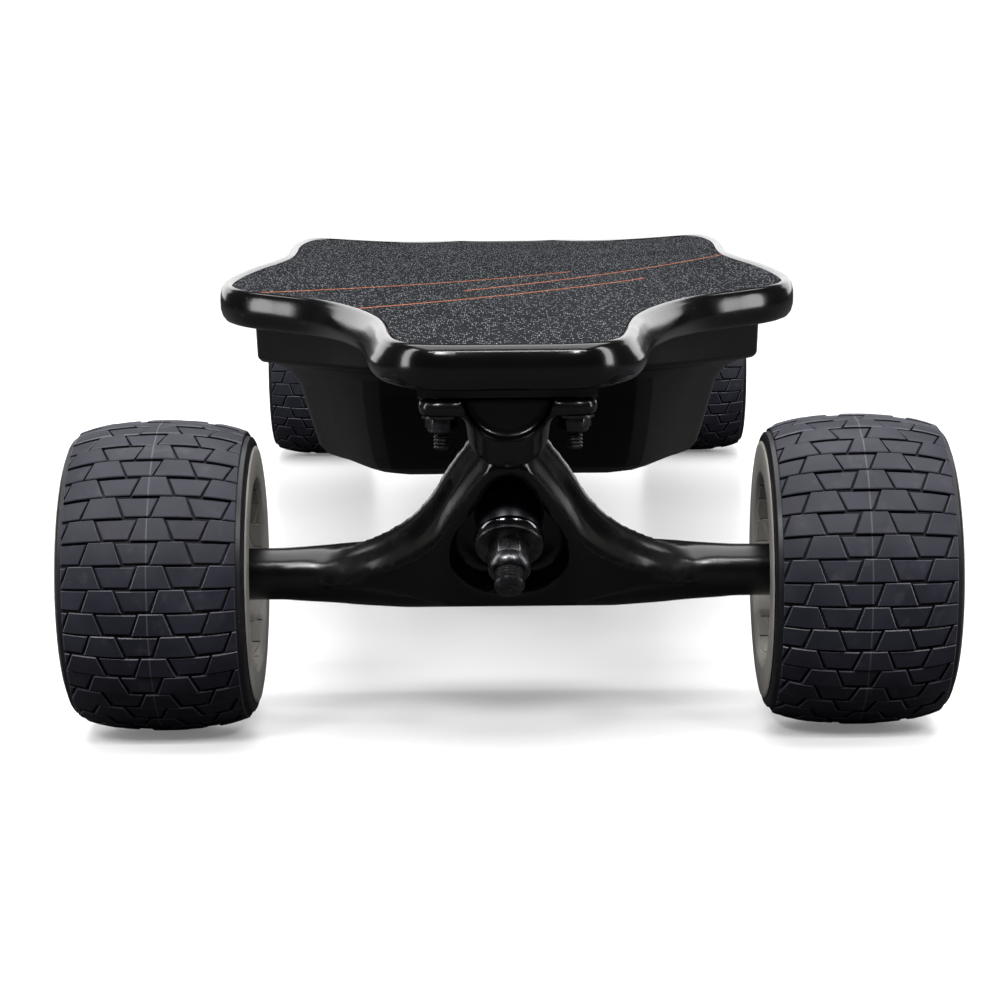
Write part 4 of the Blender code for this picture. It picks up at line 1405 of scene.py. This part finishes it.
# ---------------------------------------------------------------- wheels
@dataclass
class TilePattern:
    """Rows of interlocking trapezoid tiles wrapped round a wheel."""

    radius: Callable[[float], float]
    rows: int
    low: float
    high: float
    spacing: float
    first: float
    shift: float
    slant: float
    gap: float
    depth: float
    chamfer: float
    mean_radius: float
    inward: bool = False
    sink: float = 0.0

    @property
    def pitch(self) -> float:
        """Arc length of one row."""
        return TURN * self.mean_radius / self.rows

    def row(self, start: float) -> Shape:
        """One flat row: local X across the wheel, Y along the row's travel.

        Args:
            start: Where the first slanted groove crosses the row's middle.

        Returns:
            The row's tiles, raised and chamfered.
        """
        shape = bmesh.new()
        bmesh.ops.create_grid(shape, x_segments=1, y_segments=1, size=1.0)
        half = (self.high - self.low) / 2.0
        bmesh.ops.scale(shape, vec=(half, self.pitch / 2.0, 1.0), verts=shape.verts)
        bmesh.ops.translate(shape, vec=((self.low + self.high) / 2.0, 0.0, 0.0),
                            verts=shape.verts)
        lines = []
        index = 0
        while start + index * self.spacing < self.high + 0.004:
            tip = 1.0 if index % 2 else -1.0
            normal = Vector((1.0, -tip * self.slant, 0.0)).normalized()
            lines.append((start + index * self.spacing, normal))
            index += 1
        for centre, normal in lines:
            for side in (-0.5, 0.5):
                bmesh.ops.bisect_plane(
                    shape, geom=shape.verts[:] + shape.edges[:] + shape.faces[:], dist=1e-8,
                    plane_co=Vector((centre, 0.0, 0.0)) + normal * side * self.gap,
                    plane_no=normal)
        doomed = []
        for face in shape.faces:
            middle = face.calc_center_median()
            offs = [(middle - Vector((c, 0.0, 0.0))).dot(n) for c, n in lines]
            if any(abs(off) < self.gap * 0.5 for off in offs) or face.calc_area() < 2e-6:
                doomed.append(face)
                continue
            kept = 0.95 if sum(off > 0.0 for off in offs) % 2 else 0.84
            bmesh.ops.scale(shape, vec=(1.0, kept, 1.0), verts=face.verts)
        bmesh.ops.delete(shape, geom=doomed, context="FACES")
        bmesh.ops.subdivide_edges(shape, edges=shape.edges[:], cuts=2, use_grid_fill=True)
        grown = bmesh.ops.extrude_face_region(shape, geom=shape.faces[:])["geom"]
        top = [item for item in grown if isinstance(item, bmesh.types.BMFace)]
        bmesh.ops.translate(shape, vec=(0.0, 0.0, self.depth - self.chamfer),
                            verts=[v for v in grown if isinstance(v, bmesh.types.BMVert)])
        bmesh.ops.recalc_face_normals(shape, faces=shape.faces)
        # Sides and floor take the third finish: on the tyre and on the core that is a darker
        # painted shade for the grooves and seams.
        for face in shape.faces:
            face.material_index = 2
        ring = bmesh.ops.inset_region(shape, faces=top, thickness=self.chamfer,
                                      depth=self.chamfer, use_even_offset=True,
                                      use_boundary=True)["faces"]
        for vert in shape.verts:
            left = sum((vert.co - Vector((c, 0.0, vert.co.z))).dot(n) > 0.0 for c, n in lines)
            if vert.co.z > 0.0001 and left % 2 == 0:
                vert.co.z -= self.sink
        for face in top:
            face.material_index = 0
        # The chamfer ring takes the second finish: on the tyre and on the core that is a lighter
        # painted highlight on the tile edges.
        for face in ring:
            face.material_index = 1
        return shape

    def build(self, seat: Seat) -> Shape:
        """Repeat the two rows round the wheel and wrap them onto it.

        Args:
            seat: The wheel's centre.

        Returns:
            The wrapped tiles.
        """
        second = self.row(self.first - self.shift)
        bmesh.ops.translate(second, vec=(0.0, self.pitch, 0.0), verts=second.verts)
        shape = joined(self.row(self.first), second)
        seed = shape.verts[:] + shape.edges[:] + shape.faces[:]
        for index in range(1, self.rows // 2):
            copy = bmesh.ops.duplicate(shape, geom=seed)["geom"]
            bmesh.ops.translate(shape, vec=(0.0, 2.0 * self.pitch * index, 0.0),
                                verts=[v for v in copy if isinstance(v, bmesh.types.BMVert)])
        for vert in shape.verts:
            across, travel, lift = vert.co
            angle = travel / self.mean_radius
            rise = self.depth - lift
            reach = self.radius(across) + (rise if self.inward else -rise)
            vert.co = (across, -reach * math.cos(angle), -reach * math.sin(angle))
        return moved(shape, seat)


@dataclass
class Tyre:
    """A solid tyre with a block tread."""

    half_width: float = 0.0303
    crown_radius: float = 0.0525
    depth: float = 0.0017
    edge: float = 0.0280
    rows: int = 42
    block_spacing: float = 0.01135

    def crown(self, across: float) -> float:
        """Outer radius of the tread at an axial station."""
        return self.crown_radius - 3.3 * across ** 2 - 2500.0 * across ** 4

    def carcass(self, seat: Seat) -> Shape:
        """The tyre under its blocks, with smooth shoulders and sides.

        Args:
            seat: The wheel's centre.

        Returns:
            The carcass.
        """
        floor = [(-self.edge + 2.0 * self.edge * i / 16.0) for i in range(17)]
        side = [(0.0303, 0.0386), (0.0303, 0.0436), (0.0302, 0.0448), (0.0299, 0.0458),
                (0.0294, 0.0465)]
        profile = [(-x, r) for x, r in side]
        profile += [(x, self.crown(x) - self.depth + 0.00015) for x in floor]
        profile += list(reversed(side))
        return turned(profile, seat, 128)

    def build(self, name: str, seat: Seat, body: str) -> None:
        """Make and dress one tyre.

        Args:
            name: The wheel's name.
            seat: The wheel's centre.
            body: The body it rides on.
        """
        tread = TilePattern(
            radius=self.crown, rows=self.rows, low=-self.edge, high=self.edge,
            spacing=self.block_spacing, first=-0.0431, shift=0.0066, slant=0.33, gap=0.0008,
            depth=self.depth, chamfer=0.00028, mean_radius=self.crown_radius, sink=0.0005)
        carcass = self.carcass(seat)
        for face in carcass.faces:
            reach = face.calc_center_median() - Vector(seat.origin)
            across = abs(reach.x)
            # The floor between the blocks takes the painted groove shade; the sides take the side
            # rubber.
            face.material_index = 3 if across > self.edge - 0.0002 else 2
        shape = joined(carcass, tread.build(seat))
        # Finishes: block tops, painted highlight on the block edges, painted shade in the grooves,
        # side rubber.
        publish(name + "_block_tyre", shape, (TREAD_TOP, TREAD_EDGE_HIGHLIGHT, TREAD_GROOVE_SHADE, SIDE_RUBBER),
                body, [name + "_tyre"], sharp=0.5)


@dataclass
class FrontWheel:
    """Front wheel: tyre on a plastic core with two bearings."""

    name: str
    side: float
    axle_y: float = -0.39
    axle_z: float = 0.0525
    centre_x: float = 0.1161
    wall_radius: float = 0.0314

    @property
    def seat(self) -> Seat:
        """Wheel centre, local X outward or inward along +X."""
        return Seat((self.side * self.centre_x, self.axle_y, self.axle_z))

    @property
    def outward(self) -> Seat:
        """Wheel centre, local X away from the board."""
        return Seat(self.seat.origin, (self.side, 0.0, 0.0), (0.0, self.side, 0.0),
                    (0.0, 0.0, 1.0))

    def core(self) -> Shape:
        """The core: lipped rim, web with windows and hub."""
        lip = [(0.0300, 0.0383), (0.03036, 0.0385), (0.03036, 0.0430), (0.0306, 0.0434),
               (0.0309, 0.0431), (0.0311, 0.0420), (0.0311, 0.0334), (0.0308, 0.0324),
               (0.0300, 0.0318), (0.0060, 0.0318), (0.0044, 0.0308), (0.0040, 0.0296),
               (0.0040, 0.0168), (0.0052, 0.0156), (0.0126, 0.0150), (0.0130, 0.0146),
               (0.0130, 0.0112)]
        profile = lip + [(-x, r) for x, r in reversed(lip)]
        windows = []
        for index in range(6):
            angle = TURN * index / 6.0
            spot = Seat((0.0, 0.0235 * math.cos(angle), 0.0235 * math.sin(angle)))
            windows.append(rod(((-0.02, 0.0054), (0.02, 0.0054)), spot, 32))
        body = carved(turned(profile, Seat((0.0, 0.0, 0.0)), 96), joined(*windows))
        return moved(body, self.seat)

    def tiles(self) -> Shape:
        """Moulded tiles on both recess walls."""
        walls = []
        for low, high in ((-0.0296, -0.0064), (0.0064, 0.0296)):
            pattern = TilePattern(
                radius=lambda across: self.wall_radius, rows=22, low=low, high=high,
                spacing=0.0078, first=low + 0.0030, shift=0.0040, slant=0.30, gap=0.0010,
                depth=0.0005, chamfer=0.00014, mean_radius=self.wall_radius, inward=True)
            walls.append(pattern.build(self.seat))
        return joined(*walls)

    def bearings(self) -> Shape:
        """Two shielded bearings and the spacer between them."""
        half = [(0.0125, 0.0042), (0.0125, 0.0062), (0.0119, 0.0065), (0.0119, 0.0090),
                (0.0125, 0.0093), (0.0125, 0.0109), (0.0120, 0.0111), (0.0055, 0.0111),
                (0.0055, 0.0060)]
        profile = half + [(-x, r) for x, r in reversed(half)]
        return turned(profile, self.seat, 64)

    def build(self) -> None:
        """Make and dress the wheel."""
        body = self.name + "_wheel"
        Tyre().build(self.name, self.seat, body)
        rim = self.core()
        publish(self.name + "_rim_core", rim, CORE_GREY, body,
                [self.name + "_core"], sharp=0.7)
        # Finishes of the core tiles: tile faces, painted highlight on the tile edges, painted shade
        # in the seams.
        publish(self.name + "_rim_tiles", self.tiles(), (CORE_GREY, CORE_EDGE_HIGHLIGHT, CORE_SEAM_SHADE), body)
        publish(self.name + "_ball_bearings", self.bearings(), BEARING, body,
                [self.name + "_bearings"])
        publish(self.name + "_lock_nut",
                axle_nut(self.outward, 0.0129, 0.0184, 0.0205, 0.0075), BLACK_STEEL,
                Body.FRONT_TRUCK.value, [self.name + "_axle_nut"])


def axle_nut(seat: Seat, low: float, high: float, tip: float, radius: float) -> Shape:
    """A hexagon lock nut with its round collar.

    Args:
        seat: The wheel's centre, local X outward.
        low: Axial start of the hexagon.
        high: Axial end of the hexagon.
        tip: Axial end of the collar.
        radius: From the axis to a corner.

    Returns:
        The nut.
    """
    inner = radius * 0.62
    collar = turned(((high - 0.0003, inner), (high - 0.0003, radius * 0.84),
                     (tip - 0.0006, radius * 0.82), (tip, radius * 0.74), (tip, inner)), seat, 40)
    return joined(hexagon(radius, low, high, seat, 0.0005), collar)


@dataclass
class RearWheel:
    """Rear wheel: tyre on the shell of a hub motor, with the fixed motor plate inside."""

    name: str
    side: float
    axle_y: float = 0.39
    axle_z: float = 0.0525
    centre_x: float = 0.1161
    screw_circle: float = 0.0262

    @property
    def seat(self) -> Seat:
        """Wheel centre, local X along +X."""
        return Seat((self.side * self.centre_x, self.axle_y, self.axle_z))

    @property
    def outward(self) -> Seat:
        """Wheel centre, local X away from the board."""
        return Seat(self.seat.origin, (self.side, 0.0, 0.0), (0.0, self.side, 0.0),
                    (0.0, 0.0, 1.0))

    def shell(self) -> Shape:
        """The turning shell and its grooved cover."""
        profile = (
            (-0.0300, 0.0354), (-0.0302, 0.0360), (-0.0302, 0.0378), (-0.0298, 0.0383),
            (0.0296, 0.0383), (0.0304, 0.0379), (0.0304, 0.0362), (0.0296, 0.0352),
            (0.0240, 0.0344), (0.0208, 0.0334), (0.0205, 0.0318), (0.0198, 0.0314),
            (0.0198, 0.0300), (0.0205, 0.0296), (0.0203, 0.0226), (0.0192, 0.0222),
            (0.0192, 0.0206), (0.0202, 0.0202), (0.0200, 0.0140), (0.0186, 0.0128),
            (0.0182, 0.0098), (0.0182, 0.0063), (0.0150, 0.0063), (0.0150, 0.0120),
            (0.0165, 0.0352),
        )
        return turned(profile, self.outward, 128)

    def screws(self) -> Shape:
        """Six cover screws."""
        heads = []
        for index in range(6):
            angle = TURN * (index + 0.5) / 6.0
            spot = moved_seat(self.outward, 0.0203, self.screw_circle, angle)
            heads.append(screw_head(spot, 0.0025, 0.0013))
        return joined(*heads)

    def plate(self) -> Shape:
        """The fixed motor plate, its hub and the threaded shaft."""
        profile = (
            (-0.0490, 0.0), (-0.0490, 0.0046), (-0.0486, 0.0050), (-0.0296, 0.0050),
            (-0.0296, 0.0098), (-0.0290, 0.0104), (-0.0268, 0.0110), (-0.0264, 0.0126),
            (-0.0264, 0.0206), (-0.0272, 0.0212), (-0.0272, 0.0226), (-0.0264, 0.0232),
            (-0.0262, 0.0300), (-0.0254, 0.0334), (-0.0246, 0.0342), (-0.0215, 0.0344),
            (-0.0215, 0.0310), (0.0110, 0.0310), (0.0110, 0.0090), (0.0140, 0.0090),
            (0.0140, 0.0050), *thread(0.0180, 0.0266, 0.0051), (0.0271, 0.0042), (0.0271, 0.0),
        )
        return turned(profile, self.outward, 96, closed=False)

    def build(self) -> None:
        """Make and dress the wheel."""
        body = self.name + "_wheel"
        truck = Body.REAR_TRUCK.value
        Tyre().build(self.name, self.seat, body)
        publish(self.name + "_motor_shell", self.shell(), MOTOR_SHELL, body,
                [self.name + "_motor_can"], sharp=0.5)
        publish(self.name + "_cover_screws", self.screws(), BLACK_STEEL, body)
        publish(self.name + "_motor_plate", self.plate(), MOTOR_CORE, truck,
                [self.name + "_stator"], sharp=0.5)
        publish(self.name + "_lock_nut",
                axle_nut(self.outward, 0.0184, 0.0240, 0.0248, 0.0092), BLACK_STEEL, truck,
                [self.name + "_axle_nut"])


def moved_seat(seat: Seat, axial: float, radius: float, angle: float) -> Seat:
    """A seat on a circle about another seat's local X.

    Args:
        seat: The seat at the middle.
        axial: Distance along local X.
        radius: Radius of the circle.
        angle: Place on the circle, in radians.

    Returns:
        The new seat.
    """
    spot = seat.matrix @ Vector((axial, radius * math.cos(angle), radius * math.sin(angle)))
    return Seat(tuple(spot), seat.x, seat.y, seat.z)


def build_front_axle() -> None:
    """The steel rod through the front hanger and both wheels."""
    profile = [(-0.1395, 0.0030), *thread(-0.1390, -0.1290, 0.0041), (-0.1285, 0.0040),
               (0.1285, 0.0040), *thread(0.1290, 0.1390, 0.0041), (0.1395, 0.0030)]
    publish("front_axle_rod", rod(profile, Seat((0.0, -0.39, 0.0525)), 32), BLACK_STEEL,
            Body.FRONT_TRUCK.value, ["front_axle"])


# ---------------------------------------------------------------- studio
@dataclass
class Softbox:
    """A rectangular light that faces a point."""

    name: str
    place: Point
    target: Point
    size: tuple[float, float]
    power: float
    colour: Colour = (1.0, 1.0, 1.0)

    def build(self) -> None:
        """Hang the light."""
        lamp = bpy.data.lights.new(self.name, "AREA")
        lamp.shape = "RECTANGLE"
        lamp.size, lamp.size_y = self.size
        lamp.energy = self.power
        lamp.color = self.colour
        holder = bpy.data.objects.new(self.name, lamp)
        holder.location = self.place
        holder.visible_camera = False
        aim = Vector(self.target) - Vector(self.place)
        holder.rotation_euler = aim.to_track_quat("-Z", "Y").to_euler()
        bpy.context.scene.collection.objects.link(holder)


@dataclass
class Studio:
    """White floor, softboxes, plain surroundings and the camera."""

    floor_half: float = 3.2
    floor_fade: tuple[float, float] = (1.3, 2.9)
    floor_bounce: Colour = (0.06, 0.06, 0.062)
    camera_place: Point = (0.0, -1.28, 0.2006)
    camera_pitch: float = 0.138
    camera_roll: float = -0.0095
    lens: float = 95.87
    shift_x: float = -0.00875
    surround: float = 0.045

    def floor(self) -> None:
        """A pale sweep with the faintest gloss."""
        shape = bmesh.new()
        bmesh.ops.create_grid(shape, x_segments=8, y_segments=8, size=self.floor_half)
        mesh = bpy.data.meshes.new("studio_floor")
        shape.to_mesh(mesh)
        shape.free()
        paint = Paint("floor_white")
        drift = paint.noise(3.0, 3.0)
        away = paint.node("ShaderNodeVectorMath", {"operation": "LENGTH"}, {0: paint.place},
                          "Value")
        underneath = paint.node("ShaderNodeNewGeometry", None, None, "Backfacing")
        paint.dress(
            Base_Color=paint.mix(drift, (0.90, 0.90, 0.905), (0.93, 0.93, 0.93)),
            Roughness=0.22 + paint.noise(9.0, 3.0) * 0.08,
            Specular_IOR_Level=0.35,
            Emission_Color=(1.0, 1.0, 1.0),
            Emission_Strength=0.16,
            Alpha=(1.0 - away.between(*self.floor_fade)) * (1.0 - underneath),
        )
        quiet = paint.node("ShaderNodeBsdfDiffuse", None, {"Color": self.floor_bounce})
        seen = paint.node("ShaderNodeLightPath", None, None, "Is Camera Ray")
        surface = paint.node("ShaderNodeMixShader", None, {
            0: seen, 1: quiet, 2: Value(paint, paint.shader.outputs[0])})
        paint.feed(paint.tree.nodes["Material Output"].inputs["Surface"], surface)
        mesh.materials.append(paint.material)
        piece = bpy.data.objects.new("studio_floor", mesh)
        bpy.context.scene.collection.objects.link(piece)

    def world(self) -> None:
        """White behind the board, softer in reflections."""
        world = bpy.data.worlds.new("studio")
        bpy.context.scene.world = world
        world.use_nodes = True
        tree = world.node_tree
        dim = tree.nodes["Background"]
        dim.inputs["Color"].default_value = (1.0, 1.0, 1.0, 1.0)
        dim.inputs["Strength"].default_value = self.surround
        bright = tree.nodes.new("ShaderNodeBackground")
        bright.inputs["Color"].default_value = (1.0, 1.0, 1.0, 1.0)
        bright.inputs["Strength"].default_value = 1.05
        ray = tree.nodes.new("ShaderNodeLightPath")
        blend = tree.nodes.new("ShaderNodeMixShader")
        tree.links.new(ray.outputs["Is Camera Ray"], blend.inputs[0])
        tree.links.new(dim.outputs[0], blend.inputs[1])
        tree.links.new(bright.outputs[0], blend.inputs[2])
        tree.links.new(blend.outputs[0], tree.nodes["World Output"].inputs[0])

    def camera(self) -> None:
        """The viewing camera, low in front of the nose."""
        data = bpy.data.cameras.new("camera")
        data.lens = self.lens
        data.sensor_width = 36.0
        data.shift_x = self.shift_x
        data.clip_start = 0.02
        holder = bpy.data.objects.new("camera", data)
        turn = Matrix.Rotation(math.pi / 2.0 - self.camera_pitch, 4, "X")
        roll = Matrix.Rotation(self.camera_roll, 4, "Z")
        holder.rotation_euler = (turn @ roll).to_euler()
        holder.location = self.camera_place
        bpy.context.scene.collection.objects.link(holder)
        bpy.context.scene.camera = holder

    def build(self) -> None:
        """Set the whole studio."""
        bpy.context.scene.view_settings.view_transform = "Standard"
        self.floor()
        self.world()
        self.camera()
        middle = (0.0, 0.0, 0.08)
        for box in (
            Softbox("top_softbox", (0.0, 0.10, 1.9), middle, (2.4, 2.4), 62.0),
            Softbox("left_strip", (-1.7, -0.5, 0.75), (0.0, -0.3, 0.08), (0.5, 1.8), 20.0),
            Softbox("right_strip", (1.7, -0.5, 0.75), (0.0, -0.3, 0.08), (0.5, 1.8), 20.0),
            Softbox("rear_wall", (0.0, 3.2, 0.80), middle, (5.0, 1.4), 30.0),
            Softbox("front_left_box", (-0.85, -2.1, 1.7), (0.0, -0.4, 0.08), (0.5, 0.45), 22.0),
            Softbox("front_right_box", (0.95, -2.1, 1.7), (0.0, -0.4, 0.08), (0.35, 0.35), 14.0),
            Softbox("front_bar", (0.0, -1.5, 1.5), (0.0, -0.4, 0.08), (2.6, 0.08), 22.0),
        ):
            box.build()


def main() -> None:
    """Build the board in order."""
    logging.basicConfig(level=logging.INFO, format="%(message)s")
    deck = Deck()
    bolts = BoltPattern()
    deck.build()
    Enclosure(deck).build()
    Truck(End.FRONT, deck, bolts).build()
    Truck(End.REAR, deck, bolts, drop=0.0045, tube_reach=0.0880).build()
    build_front_axle()
    for side, name in ((1.0, "left"), (-1.0, "right")):
        FrontWheel("front_" + name, side).build()
        RearWheel("rear_" + name, side).build()
    Studio().build()


if __name__ == "__main__":
    main()
